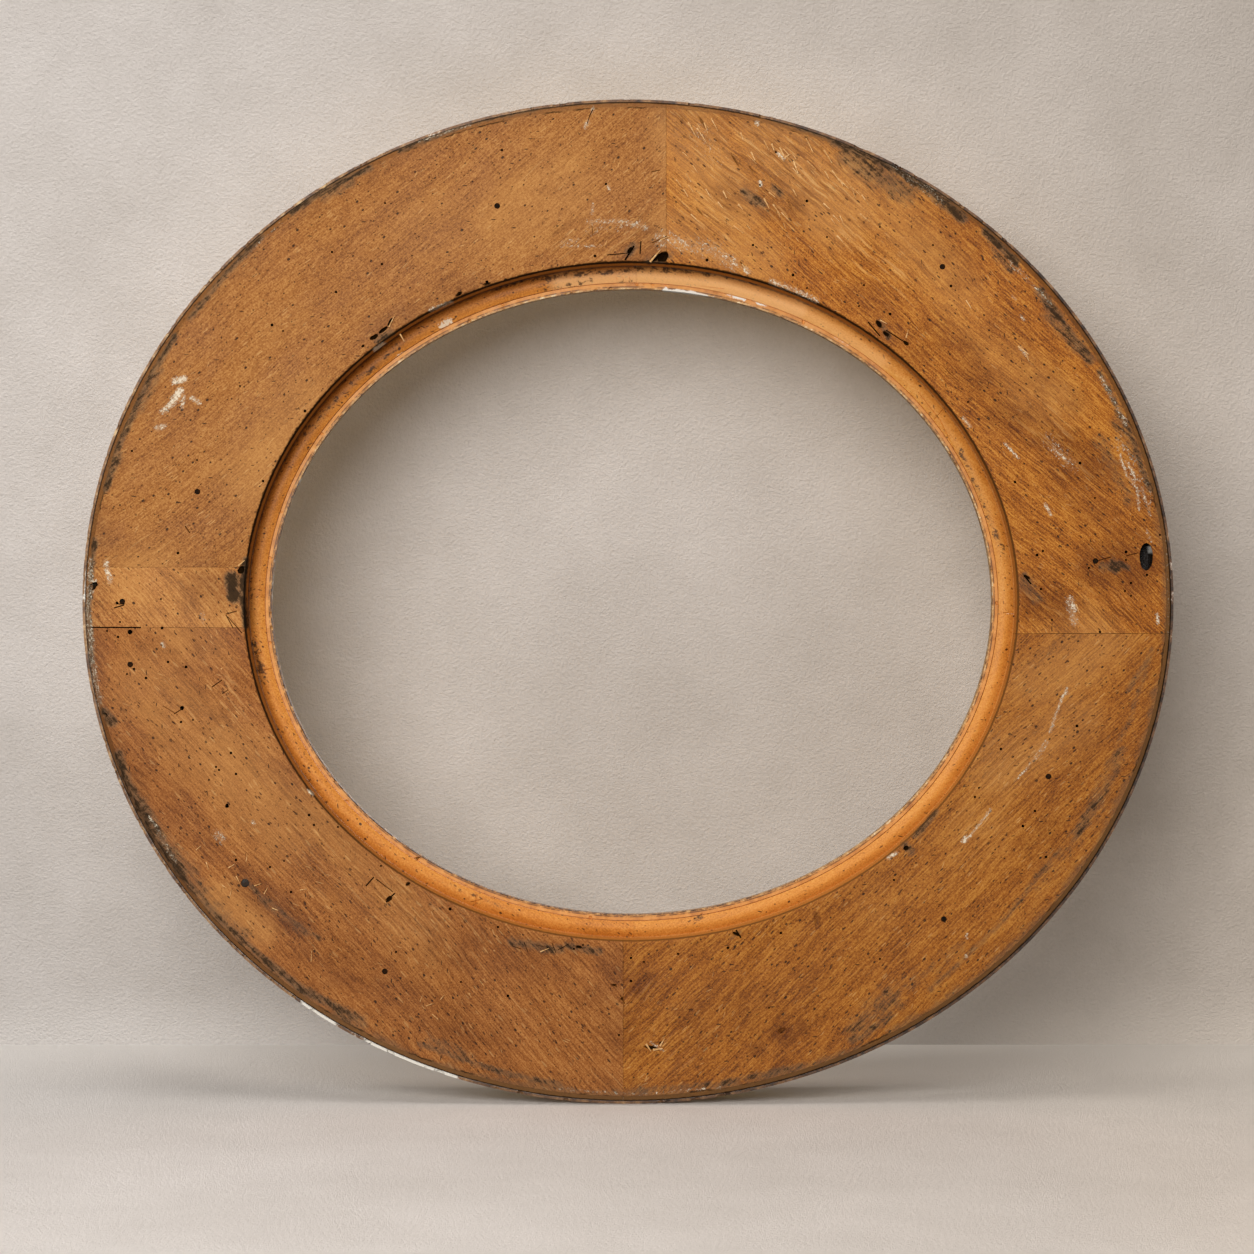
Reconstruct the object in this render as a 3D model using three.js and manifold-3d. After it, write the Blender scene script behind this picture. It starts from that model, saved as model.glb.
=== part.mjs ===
// Oval gilded picture frame, empty, as its bare wooden back shows it: a back layer of four boards and a
// splice block, a front layer of four moulding segments whose lip carries the picture, loose tongues across
// the back seams, forged nails through both layers, and one gilded gesso coat over the front and the edge.
// Millimetres, +Z up. The oval stands in the XZ plane, the back faces -Y and the gilded front +Y.
// Left and right are as seen from the back.
import * as THREE from "three";
import { mergeVertices } from "three/addons/utils/BufferGeometryUtils.js";
import Module from "manifold-3d";

// The oval and its opening
const OVERALL_WIDTH = 453;
const OVERALL_HEIGHT = 417;
const SIGHT_WIDTH = 302;
const SIGHT_HEIGHT = 262;
const SIGHT_SHIFT = 1.6; // the opening sits this far right of the outline's centre

// Back layer
const BACK_THICKNESS = 14;
const ARRIS_WIDTH = 2.6; // bevel round the outer edge of the back face
const ARRIS_DEPTH = 3.4;
const TOP_SEAM = 15.8; // x of the seam at the top
const BOTTOM_SEAM = -2;
const RIGHT_SEAM = -13.3; // z of the seam on the right
const SPLICE_CENTRE = 1.7; // z of the splice block in the left side
const SPLICE_WIDTH = 25;

// Front layer, listed from the sight edge outwards: lip, cove, bead, wide hollow, roll and side
const LIP_WIDTH = 9.6; // from the sight edge to the rebate wall
const LIP_TRIM = 0.5; // the lip is planed this far below the glue face
const LIP_TRIM_INSET = 0.4; // and the plane stops this far from the rebate wall
const LIP_THICKNESS = 6.2;
const SIGHT_ROUND = 1.5;
const COVE_WIDTH = 10.3;
const COVE_RISE = 3;
const BEAD_STEP = 1.5;
const BEAD_RADIUS = 3;
const BEAD_FILLET = 2;
const HOLLOW_STEP = 1;
const HOLLOW_RISE = 6.5;
const ROLL_FILLET = 3.5;
const ROLL_STEP = 1.5;
const ROLL_RADIUS = 9.5;
const EDGE_STRAIGHT = 4.5;
const EDGE_COVE_WIDTH = 2.5;
const EDGE_COVE_RISE = 6;
const TOP_FRONT_SEAM = 3.7; // x of the seam at the top of the front layer
const BOTTOM_FRONT_SEAM = 2.5;
const RIGHT_FRONT_SEAM = -5; // z of the seam on its right
const LEFT_FRONT_SEAM = 1.7;

// Gesso coat with its gilding
const COAT_THICKNESS = 1;
const COAT_WRAP = 2.4; // how far it turns round the sight edge onto the back of the lip
const COAT_EDGE_STOP = 0.6; // how far short of the back bevel it stops on the side

// Loose tongues across the back seams
const TONGUE_THICKNESS = 3.2;
const TONGUE_REACH = 7; // into the board on each side
const TONGUE_END = 10; // wood left at the outer edge and at the rebate

// Forged nails, driven from the back and sunk just below the face
const NAIL_HEAD_RADIUS = 1.2;
const BROAD_HEAD_RADIUS = 1.75; // of the one nail with a flat, broad head
const NAIL_HEAD_THICKNESS = 1.1;
const NAIL_SHANK = 0.85; // half the diagonal of the square shank under the head
const NAIL_POINT = 0.35;
const NAIL_SINK = 0.3;
const NAIL_BITE = 5.5; // how far the point goes into the front layer

// Blind hole for a wall hook, long way up and down
const HOOK_HOLE_WIDTH = 5.6;
const HOOK_HOLE_LENGTH = 11.4;
const HOOK_HOLE_FLOOR = 3; // wood left in front of it
const HOOK_HOLE_ANGLE = 5.4; // degrees from +X towards +Z
const HOOK_HOLE_INSET = 11.5; // from the outer edge

const FIT_GAP = 0.3; // between any two pieces
const CUT_OVERRUN = 2; // how far a cutter passes the face it opens

// Flats that stand for the round shapes
const RING_STEPS = 64; // round the oval
const ARC_STEPS = { edgeCove: 2, roll: 8, hollow: 5, bead: 4, cove: 3 };
const NAIL_HEAD_SIDES = 10;
const NAIL_SHANK_SIDES = 4;
const HOOK_HOLE_STEPS = 7; // in each half of its mouth

// Nails: degrees from +X towards +Z, inset from the outer edge, and the head where it isn't the usual one
const NAILS = {
  nail_upper_left_low: { angle: 164.2, inset: 41 },
  nail_upper_left_high: { angle: 106.8, inset: 37 },
  nail_upper_right_high: { angle: 49.7, inset: 26.5 },
  nail_upper_right_low: { angle: 5.5, inset: 33.3 },
  nail_lower_right_high: { angle: 335.1, inset: 36 },
  nail_lower_right_low: { angle: 311.8, inset: 31.8 },
  nail_lower_left_low: { angle: 239.1, inset: 29.7 },
  nail_lower_left_middle: { angle: 218.9, inset: 22.6, head: BROAD_HEAD_RADIUS },
  nail_lower_left_high: { angle: 187.9, inset: 18.4 },
  nail_splice_block: { angle: 180, inset: 17.1 },
};

// Colours of the wood, iron and gilding
const WOODS = { back: 0x9a6436, splice: 0x8f5a30, front: 0xb0713a, tongue: 0xa9794a };
const WOOD_ROUGHNESS = 0.78;
const IRON = { color: 0x2b2724, roughness: 0.7, metalness: 0.8 };
const GILDING = { color: 0xb98d3f, roughness: 0.38, metalness: 0.85 };

// Heights above the back plane, and the width of the band from the outer edge to the sight edge
const outer = { x: OVERALL_WIDTH / 2, z: OVERALL_HEIGHT / 2 };
const sight = { x: SIGHT_WIDTH / 2, z: SIGHT_HEIGHT / 2 };
const band = (outer.x - sight.x + outer.z - sight.z) / 2;
const woodInset = COAT_THICKNESS + FIT_GAP;
const coatFoot = ARRIS_DEPTH + COAT_EDGE_STOP;
const glueFace = BACK_THICKNESS + FIT_GAP;
const lipFace = glueFace + LIP_TRIM;
const sightTop = lipFace + LIP_THICKNESS;
const coveTop = sightTop + COVE_RISE;
const beadFoot = coveTop + BEAD_STEP;
const hollowFoot = beadFoot - HOLLOW_STEP;
const hollowTop = hollowFoot + HOLLOW_RISE;
const rollCentre = hollowTop + ROLL_STEP;
const depth = rollCentre + ROLL_RADIUS;
const rebateInset = band - LIP_WIDTH;
const far = OVERALL_WIDTH + OVERALL_HEIGHT;

const wasm = await Module();
wasm.setup();

function toSolid(geometry) {
  const bare = geometry.clone();
  bare.deleteAttribute("normal");
  bare.deleteAttribute("uv");
  const merged = mergeVertices(bare);
  const mesh = new wasm.Mesh({
    numProp: 3,
    vertProperties: new Float32Array(merged.attributes.position.array),
    triVerts: new Uint32Array(merged.index.array),
  });
  return new wasm.Manifold(mesh);
}

function toGeometry(solid) {
  const mesh = solid.getMesh();
  const geometry = new THREE.BufferGeometry();
  geometry.setAttribute("position", new THREE.BufferAttribute(mesh.vertProperties, 3));
  geometry.setIndex(new THREE.BufferAttribute(mesh.triVerts, 1));
  geometry.computeVertexNormals();
  return geometry;
}

// The oval that lies at an inset from the outer edge: its half axes and the shift of its centre
function oval(inset) {
  const share = inset / band;
  return {
    x: outer.x + (sight.x - outer.x) * share,
    z: outer.z + (sight.z - outer.z) * share,
    shift: SIGHT_SHIFT * share,
  };
}

function ovalPoint(inset, angle) {
  const ring = oval(inset);
  return { x: ring.shift + ring.x * Math.cos(angle), z: ring.z * Math.sin(angle) };
}

// Where the plane at x cuts an oval, and where the plane at z does on its left (-1) or right (1)
function ovalZ(inset, x) {
  const ring = oval(inset);
  return ring.z * Math.sqrt(1 - ((x - ring.shift) / ring.x) ** 2);
}

function ovalX(inset, z, side) {
  const ring = oval(inset);
  return ring.shift + side * ring.x * Math.sqrt(1 - (z / ring.z) ** 2);
}

// A closed ring swept round the oval. The profile's points are [inset, height above the back plane], in the
// order back face inwards, up the inside, front face outwards, down the side.
function ringGeometry(profile) {
  const count = profile.length;
  const positions = [];
  const index = [];
  for (let step = 0; step < RING_STEPS; step++) {
    const next = (step + 1) % RING_STEPS;
    for (let i = 0; i < count; i++) {
      const [inset, height] = profile[i];
      const point = ovalPoint(inset, (2 * Math.PI * step) / RING_STEPS);
      positions.push(point.x, height, point.z);
      const j = (i + 1) % count;
      const [a, b, c, d] = [step * count + i, next * count + i, next * count + j, step * count + j];
      index.push(a, b, d, b, c, d);
    }
  }
  const geometry = new THREE.BufferGeometry();
  geometry.setAttribute("position", new THREE.Float32BufferAttribute(positions, 3));
  geometry.setIndex(index);
  return geometry;
}

// Points of an ellipse arc, without its first point
function arc(centre, radii, from, to, steps) {
  const points = [];
  for (let i = 1; i <= steps; i++) {
    const angle = from + ((to - from) * i) / steps;
    points.push([centre[0] + radii[0] * Math.cos(angle), centre[1] + radii[1] * Math.sin(angle)]);
  }
  return points;
}

// The gilded outline from the foot of the side, over the front and round the sight edge to the lip's back
function gildedOutline(foot, wrap) {
  const rollEnd = EDGE_COVE_WIDTH + 2 * ROLL_RADIUS;
  const coveEnd = band - SIGHT_ROUND;
  const coveStart = coveEnd - COVE_WIDTH;
  const beadStart = coveStart - 2 * BEAD_RADIUS;
  const hollowStart = rollEnd + ROLL_FILLET;
  const hollowEnd = beadStart - BEAD_FILLET;
  const edgeTop = rollCentre - EDGE_STRAIGHT;
  const edgeFoot = edgeTop - EDGE_COVE_RISE;
  const rollMiddle = [EDGE_COVE_WIDTH + ROLL_RADIUS, rollCentre];
  const beadMiddle = [beadStart + BEAD_RADIUS, beadFoot];
  const hollowRadii = [hollowEnd - hollowStart, HOLLOW_RISE];
  const right = Math.PI / 2;
  return [
    [0, foot],
    [0, edgeFoot],
    ...arc([0, edgeTop], [EDGE_COVE_WIDTH, EDGE_COVE_RISE], -right, 0, ARC_STEPS.edgeCove),
    [EDGE_COVE_WIDTH, rollCentre],
    ...arc(rollMiddle, [ROLL_RADIUS, ROLL_RADIUS], 2 * right, 0, ARC_STEPS.roll),
    [rollEnd, hollowTop],
    [hollowStart, hollowTop],
    ...arc([hollowEnd, hollowTop], hollowRadii, 2 * right, 3 * right, ARC_STEPS.hollow),
    [hollowEnd, beadFoot],
    [beadStart, beadFoot],
    ...arc(beadMiddle, [BEAD_RADIUS, BEAD_RADIUS], 2 * right, 0, ARC_STEPS.bead),
    [coveStart, coveTop],
    ...arc([coveEnd, coveTop], [COVE_WIDTH, COVE_RISE], 2 * right, 3 * right, ARC_STEPS.cove),
    [band, sightTop - SIGHT_ROUND],
    [band, lipFace],
    [band - wrap, lipFace],
  ];
}

// The same outline moved into the wood by a distance
function insetOutline(points, distance) {
  const normals = points.slice(1).map(([x, y], i) => {
    const along = new THREE.Vector2(x - points[i][0], y - points[i][1]).normalize();
    return new THREE.Vector2(along.y, -along.x);
  });
  return points.map(([x, y], i) => {
    const before = normals[Math.max(i - 1, 0)];
    const after = normals[Math.min(i, normals.length - 1)];
    const mitre = distance / (1 + before.dot(after));
    return [x + (before.x + after.x) * mitre, y + (before.y + after.y) * mitre];
  });
}

const backProfile = [
  [woodInset + ARRIS_WIDTH, 0],
  [rebateInset, 0],
  [rebateInset, BACK_THICKNESS],
  [woodInset, BACK_THICKNESS],
  [woodInset, ARRIS_DEPTH],
];

function frontProfile() {
  const trimEdge = rebateInset + LIP_TRIM_INSET;
  const wrap = COAT_WRAP + FIT_GAP;
  const outline = insetOutline(gildedOutline(glueFace, wrap), woodInset);
  return [
    outline[0],
    [trimEdge, glueFace],
    [trimEdge, lipFace],
    [band - wrap, lipFace],
    ...outline.slice(1).reverse(),
  ];
}

function coatProfile() {
  const outline = gildedOutline(coatFoot, COAT_WRAP);
  return [...insetOutline(outline, COAT_THICKNESS), ...outline.reverse()];
}

// A box between two corners
function span(low, high) {
  const size = high.map((value, i) => value - low[i]);
  const geometry = new THREE.BoxGeometry(...size);
  geometry.translate(...low.map((value, i) => value + size[i] / 2));
  return geometry;
}

// The part of a ring inside a range of x and z, kept half a gap clear of the seams there
function sector(ring, x, z) {
  const half = FIT_GAP / 2;
  const region = span([x[0] + half, -far, z[0] + half], [x[1] - half, far, z[1] - half]);
  return toGeometry(ring.intersect(toSolid(region)));
}

// A tongue's centre and size. A seam at x is crossed along X, and a seam at z along Z.
function tongueAtX(x, side) {
  const ends = [ovalZ(woodInset, x) - TONGUE_END, ovalZ(rebateInset, x) + TONGUE_END];
  return {
    centre: [x, BACK_THICKNESS / 2, (side * (ends[0] + ends[1])) / 2],
    size: [2 * TONGUE_REACH, TONGUE_THICKNESS, ends[0] - ends[1]],
  };
}

function tongueAtZ(z, side) {
  const end = side * TONGUE_END;
  const ends = [ovalX(woodInset, z, side) - end, ovalX(rebateInset, z, side) + end];
  return {
    centre: [(ends[0] + ends[1]) / 2, BACK_THICKNESS / 2, z],
    size: [side * (ends[0] - ends[1]), TONGUE_THICKNESS, 2 * TONGUE_REACH],
  };
}

const spliceTop = SPLICE_CENTRE + SPLICE_WIDTH / 2;
const spliceBottom = SPLICE_CENTRE - SPLICE_WIDTH / 2;
const tongues = {
  tongue_top: tongueAtX(TOP_SEAM, 1),
  tongue_bottom: tongueAtX(BOTTOM_SEAM, -1),
  tongue_right: tongueAtZ(RIGHT_SEAM, 1),
  tongue_left_upper: tongueAtZ(spliceTop, -1),
  tongue_left_lower: tongueAtZ(spliceBottom, -1),
};

function tongueSlot({ centre, size }) {
  const geometry = new THREE.BoxGeometry(...size.map((length) => length + 2 * FIT_GAP));
  geometry.translate(...centre);
  return toSolid(geometry);
}

// A nail along +Y from its head: round head, square tapered shank. A clearance makes it the hole's cutter.
function nailSolid({ head: radius = NAIL_HEAD_RADIUS }, clearance) {
  const overrun = clearance > 0 ? CUT_OVERRUN : 0;
  const headLength = NAIL_HEAD_THICKNESS + clearance + overrun;
  const headRadius = radius + clearance;
  const head = new THREE.CylinderGeometry(headRadius, headRadius, headLength, NAIL_HEAD_SIDES);
  head.translate(0, NAIL_SINK - overrun + headLength / 2, 0);
  const shankStart = NAIL_SINK + NAIL_HEAD_THICKNESS / 2;
  const shankLength = glueFace + NAIL_BITE + clearance - shankStart;
  const [point, root] = [NAIL_POINT + clearance, NAIL_SHANK + clearance];
  const shank = new THREE.CylinderGeometry(point, root, shankLength, NAIL_SHANK_SIDES);
  shank.translate(0, shankStart + shankLength / 2, 0);
  return toSolid(head).add(toSolid(shank));
}

function place(degrees, inset) {
  const point = ovalPoint(inset, THREE.MathUtils.degToRad(degrees));
  return [point.x, 0, point.z];
}

function hookHole() {
  const outline = new THREE.Shape();
  outline.absellipse(0, 0, HOOK_HOLE_WIDTH / 2, HOOK_HOLE_LENGTH / 2, 0, 2 * Math.PI);
  const reach = BACK_THICKNESS - HOOK_HOLE_FLOOR + CUT_OVERRUN;
  const options = { depth: reach, bevelEnabled: false, curveSegments: HOOK_HOLE_STEPS };
  const geometry = new THREE.ExtrudeGeometry(outline, options);
  geometry.rotateX(Math.PI / 2);
  geometry.translate(0, BACK_THICKNESS - HOOK_HOLE_FLOOR, 0);
  return toSolid(geometry).translate(place(HOOK_HOLE_ANGLE, HOOK_HOLE_INSET));
}

const nailHoles = Object.values(NAILS).map((nail) => {
  return nailSolid(nail, FIT_GAP).translate(place(nail.angle, nail.inset));
});
const cut = (solid, cutters) => cutters.reduce((rest, cutter) => rest.subtract(cutter), solid);
const backCutters = [...Object.values(tongues).map(tongueSlot), ...nailHoles, hookHole()];
const backRing = cut(toSolid(ringGeometry(backProfile)), backCutters);
const frontRing = cut(toSolid(ringGeometry(frontProfile())), nailHoles);

// Everything is modelled from the back plane, and the frame's origin is at the middle of its depth
const frame = new THREE.Group();
frame.position.y = -depth / 2;

function addPiece(name, geometry, look) {
  const mesh = new THREE.Mesh(geometry, new THREE.MeshStandardMaterial(look));
  mesh.name = name;
  frame.add(mesh);
  return mesh;
}

const wood = (color) => ({ color, roughness: WOOD_ROUGHNESS, metalness: 0 });

const backBoards = {
  back_board_upper_left: [[-far, TOP_SEAM], [spliceTop, far]],
  back_board_upper_right: [[TOP_SEAM, far], [RIGHT_SEAM, far]],
  back_board_lower_right: [[BOTTOM_SEAM, far], [-far, RIGHT_SEAM]],
  back_board_lower_left: [[-far, BOTTOM_SEAM], [-far, spliceBottom]],
};
for (const [name, [x, z]] of Object.entries(backBoards)) {
  addPiece(name, sector(backRing, x, z), wood(WOODS.back));
}
addPiece("left_splice_block", sector(backRing, [-far, 0], [spliceBottom, spliceTop]), wood(WOODS.splice));

const frontSegments = {
  front_moulding_upper_left: [[-far, TOP_FRONT_SEAM], [LEFT_FRONT_SEAM, far]],
  front_moulding_upper_right: [[TOP_FRONT_SEAM, far], [RIGHT_FRONT_SEAM, far]],
  front_moulding_lower_right: [[BOTTOM_FRONT_SEAM, far], [-far, RIGHT_FRONT_SEAM]],
  front_moulding_lower_left: [[-far, BOTTOM_FRONT_SEAM], [-far, LEFT_FRONT_SEAM]],
};
for (const [name, [x, z]] of Object.entries(frontSegments)) {
  addPiece(name, sector(frontRing, x, z), wood(WOODS.front));
}

for (const [name, { centre, size }] of Object.entries(tongues)) {
  addPiece(name, new THREE.BoxGeometry(...size), wood(WOODS.tongue)).position.set(...centre);
}

for (const [name, nail] of Object.entries(NAILS)) {
  addPiece(name, toGeometry(nailSolid(nail, 0)), IRON).position.set(...place(nail.angle, nail.inset));
}

addPiece("gilded_gesso_coat", ringGeometry(coatProfile()), GILDING);

export default frame;
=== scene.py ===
"""Looks of the oval gilded frame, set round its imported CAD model: a bare, worn wooden back with worm holes,
nails and old marks, and gilded gesso over the front and the edge. Metres, in the frame of the CAD."""
import math
import random

import bpy
import numpy as np
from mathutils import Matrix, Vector


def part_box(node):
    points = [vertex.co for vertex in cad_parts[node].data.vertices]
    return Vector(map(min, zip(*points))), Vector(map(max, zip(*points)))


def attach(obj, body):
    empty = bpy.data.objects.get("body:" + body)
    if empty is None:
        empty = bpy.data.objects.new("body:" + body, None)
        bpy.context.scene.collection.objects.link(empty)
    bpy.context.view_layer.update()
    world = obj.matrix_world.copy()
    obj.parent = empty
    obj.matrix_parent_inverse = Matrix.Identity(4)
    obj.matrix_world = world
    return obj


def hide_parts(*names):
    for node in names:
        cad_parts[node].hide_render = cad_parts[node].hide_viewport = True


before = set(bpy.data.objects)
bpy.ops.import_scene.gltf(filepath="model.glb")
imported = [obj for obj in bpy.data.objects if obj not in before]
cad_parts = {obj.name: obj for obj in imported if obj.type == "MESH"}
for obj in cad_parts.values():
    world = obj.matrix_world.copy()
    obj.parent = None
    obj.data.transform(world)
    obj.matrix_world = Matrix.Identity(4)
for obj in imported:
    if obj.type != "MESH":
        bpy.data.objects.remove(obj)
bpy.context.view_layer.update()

MM = 0.001
PIXEL = 0.4138 * MM  # one pixel of the photograph on the back plane
IMAGE_SIZE = 1254
CAMERA_DISTANCE = 1.2  # from the back plane
CAMERA_X = -1 * PIXEL  # the middle of the photograph lies this far left of the frame's middle
CAMERA_Z = -25.5 * PIXEL  # and this far below it

# Sizes taken from the CAD nodes
coat_low, coat_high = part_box("gilded_gesso_coat")
upper_left_low, upper_left_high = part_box("back_board_upper_left")
upper_right_low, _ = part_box("back_board_upper_right")
lower_right_low, lower_right_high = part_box("back_board_lower_right")
_, lower_left_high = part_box("back_board_lower_left")
front_left_low, front_left_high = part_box("front_moulding_upper_left")
front_right_low, front_right_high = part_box("front_moulding_lower_right")
OUTER_X = (coat_high[0] - coat_low[0]) / 2
OUTER_Z = (coat_high[2] - coat_low[2]) / 2
BACK_Y = upper_left_low[1]
FIT_GAP = upper_right_low[0] - upper_left_high[0]
TOP_SEAM = (upper_left_high[0] + upper_right_low[0]) / 2
BOTTOM_SEAM = (lower_left_high[0] + lower_right_low[0]) / 2
RIGHT_SEAM = (upper_right_low[2] + lower_right_high[2]) / 2
SPLICE_TOP = upper_left_low[2] - FIT_GAP / 2
SPLICE_BOTTOM = lower_left_high[2] + FIT_GAP / 2
TOP_FRONT_SEAM = front_left_high[0] + FIT_GAP / 2
LEFT_FRONT_SEAM = front_left_low[2] - FIT_GAP / 2
BOTTOM_FRONT_SEAM = front_right_low[0] - FIT_GAP / 2
RIGHT_FRONT_SEAM = front_right_high[2] + FIT_GAP / 2

# Opening, back layer, moulding and coat, as in the part's source
SIGHT_X = 151 * MM
SIGHT_Z = 131 * MM
SIGHT_SHIFT = 1.6 * MM
BAND = (OUTER_X - SIGHT_X + OUTER_Z - SIGHT_Z) / 2
BACK_THICKNESS = 14 * MM
ARRIS_WIDTH = 2.6 * MM
ARRIS_DEPTH = 3.4 * MM
COAT_THICKNESS = 1 * MM
COAT_WRAP = 2.4 * MM
COAT_EDGE_STOP = 0.6 * MM
WOOD_INSET = COAT_THICKNESS + FIT_GAP
LIP_WIDTH = 9.6 * MM
LIP_TRIM = 0.5 * MM
LIP_TRIM_INSET = 0.4 * MM
LIP_THICKNESS = 6.2 * MM
SIGHT_ROUND = 1.5 * MM
COVE_WIDTH = 10.3 * MM
COVE_RISE = 3 * MM
BEAD_STEP = 1.5 * MM
BEAD_RADIUS = 3 * MM
BEAD_FILLET = 2 * MM
HOLLOW_STEP = 1 * MM
HOLLOW_RISE = 6.5 * MM
ROLL_FILLET = 3.5 * MM
ROLL_STEP = 1.5 * MM
ROLL_RADIUS = 9.5 * MM
EDGE_STRAIGHT = 4.5 * MM
EDGE_COVE_WIDTH = 2.5 * MM
EDGE_COVE_RISE = 6 * MM
REBATE_INSET = BAND - LIP_WIDTH
GLUE_FACE = BACK_THICKNESS + FIT_GAP
LIP_FACE = GLUE_FACE + LIP_TRIM
SIGHT_TOP = LIP_FACE + LIP_THICKNESS
COVE_TOP = SIGHT_TOP + COVE_RISE
BEAD_FOOT = COVE_TOP + BEAD_STEP
HOLLOW_FOOT = BEAD_FOOT - HOLLOW_STEP
HOLLOW_TOP = HOLLOW_FOOT + HOLLOW_RISE
ROLL_CENTRE = HOLLOW_TOP + ROLL_STEP

# Fineness of the new meshes
BACK_STEPS = 1280  # round the oval
BACK_ROWS = 84  # across the back face
FRONT_STEPS = 512
COAT_STEPS = 576
SEAM_GAP = 0.1 * MM


def deselect():
    bpy.ops.object.select_all(action="DESELECT")


def pick(piece):
    """Makes a piece the active one and the only one selected."""
    deselect()
    bpy.context.view_layer.objects.active = piece
    piece.select_set(True)


def edit(piece):
    """Opens a piece in edit mode with everything selected."""
    pick(piece)
    bpy.ops.object.mode_set(mode="EDIT")
    bpy.ops.mesh.select_all(action="SELECT")


def leave():
    bpy.ops.object.mode_set(mode="OBJECT")


def name_piece(piece, name):
    piece.name = name
    piece.data.name = name


def copy_of(piece, name):
    pick(piece)
    bpy.ops.object.duplicate(linked=False)
    made = bpy.context.object
    name_piece(made, name)
    return made


def drop(piece):
    pick(piece)
    bpy.ops.object.delete()


def oval(inset):
    """Half axes and centre shift of the oval at an inset from the outer edge."""
    share = inset / BAND
    return OUTER_X + (SIGHT_X - OUTER_X) * share, OUTER_Z + (SIGHT_Z - OUTER_Z) * share, SIGHT_SHIFT * share


def oval_point(degrees, inset):
    half_x, half_z, shift = oval(inset)
    angle = math.radians(degrees)
    return shift + half_x * math.cos(angle), half_z * math.sin(angle)


def draw_ring(name, profile, steps):
    """A circle drawn to the profile's first oval, extruded from oval to oval and bridged shut."""
    deselect()
    bpy.ops.mesh.primitive_circle_add(vertices=steps, radius=1, rotation=(math.pi / 2, 0, 0))
    ring = bpy.context.object
    name_piece(ring, name)
    bpy.ops.object.transform_apply(location=True, rotation=True, scale=True)
    edit(ring)
    now_x, now_z, now_shift, now_y = 1, 1, 0, 0
    for number, (inset, height) in enumerate(profile):
        if number:
            bpy.ops.mesh.extrude_region()
        half_x, half_z, shift = oval(inset)
        if half_x != now_x:
            stretch = (half_x / now_x, 1, half_z / now_z)
            bpy.ops.transform.resize(value=stretch, center_override=(now_shift, now_y, 0))
        bpy.ops.transform.translate(value=(shift - now_shift, BACK_Y + height - now_y, 0))
        now_x, now_z, now_shift, now_y = half_x, half_z, shift, BACK_Y + height
    bpy.ops.mesh.select_mode(type="EDGE")
    bpy.ops.mesh.select_all(action="DESELECT")
    bpy.ops.mesh.select_non_manifold()
    bpy.ops.mesh.bridge_edge_loops()
    bpy.ops.mesh.select_mode(type="VERT")
    bpy.ops.mesh.select_all(action="SELECT")
    bpy.ops.mesh.normals_make_consistent(inside=False)
    leave()
    return ring


def cut_off(piece, place, direction):
    """Cuts a piece at a plane, drops what lies beyond it in the direction and closes the cut."""
    edit(piece)
    bpy.ops.mesh.bisect(plane_co=place, plane_no=direction, use_fill=True, clear_outer=True)
    leave()


CUT_WAYS = {"bottom": (0, 0, -1), "top": (0, 0, 1), "left": (-1, 0, 0), "right": (1, 0, 0)}


def sector_of(ring, name, **seams):
    """The part of a ring between seams, half a gap clear of each."""
    made = copy_of(ring, name)
    for side, way in CUT_WAYS.items():
        if side in seams:
            place = [abs(axis) * seams[side] - axis * SEAM_GAP / 2 for axis in way]
            cut_off(made, place, way)
    return made


def arc(middle, radii, start, end, steps):
    """Points of an ellipse arc, without its first point."""
    angles = [math.radians(start + (end - start) * step / steps) for step in range(1, steps + 1)]
    return [(middle[0] + radii[0] * math.cos(a), middle[1] + radii[1] * math.sin(a)) for a in angles]


FINE_ARCS = {"edge_cove": 6, "roll": 24, "hollow": 16, "bead": 12, "cove": 8}
HIDDEN_ARCS = {"edge_cove": 2, "roll": 8, "hollow": 5, "bead": 4, "cove": 3}


def gilded_outline(foot, wrap, steps):
    """From the foot of the side, over the front and round the sight edge to the back of the lip."""
    roll_end = EDGE_COVE_WIDTH + 2 * ROLL_RADIUS
    cove_end = BAND - SIGHT_ROUND
    cove_start = cove_end - COVE_WIDTH
    bead_start = cove_start - 2 * BEAD_RADIUS
    hollow_start = roll_end + ROLL_FILLET
    hollow_end = bead_start - BEAD_FILLET
    edge_top = ROLL_CENTRE - EDGE_STRAIGHT
    edge_foot = edge_top - EDGE_COVE_RISE
    roll_middle = (EDGE_COVE_WIDTH + ROLL_RADIUS, ROLL_CENTRE)
    bead_middle = (bead_start + BEAD_RADIUS, BEAD_FOOT)
    hollow_radii = (hollow_end - hollow_start, HOLLOW_RISE)
    return [
        (0, foot),
        (0, edge_foot),
        *arc((0, edge_top), (EDGE_COVE_WIDTH, EDGE_COVE_RISE), -90, 0, steps["edge_cove"]),
        (EDGE_COVE_WIDTH, ROLL_CENTRE),
        *arc(roll_middle, (ROLL_RADIUS, ROLL_RADIUS), 180, 0, steps["roll"]),
        (roll_end, HOLLOW_TOP),
        (hollow_start, HOLLOW_TOP),
        *arc((hollow_end, HOLLOW_TOP), hollow_radii, 180, 270, steps["hollow"]),
        (hollow_end, BEAD_FOOT),
        (bead_start, BEAD_FOOT),
        *arc(bead_middle, (BEAD_RADIUS, BEAD_RADIUS), 180, 0, steps["bead"]),
        (cove_start, COVE_TOP),
        *arc((cove_end, COVE_TOP), (COVE_WIDTH, COVE_RISE), 180, 270, steps["cove"]),
        (BAND, SIGHT_TOP - SIGHT_ROUND),
        (BAND, LIP_FACE),
        (BAND - wrap, LIP_FACE),
    ]


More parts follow.
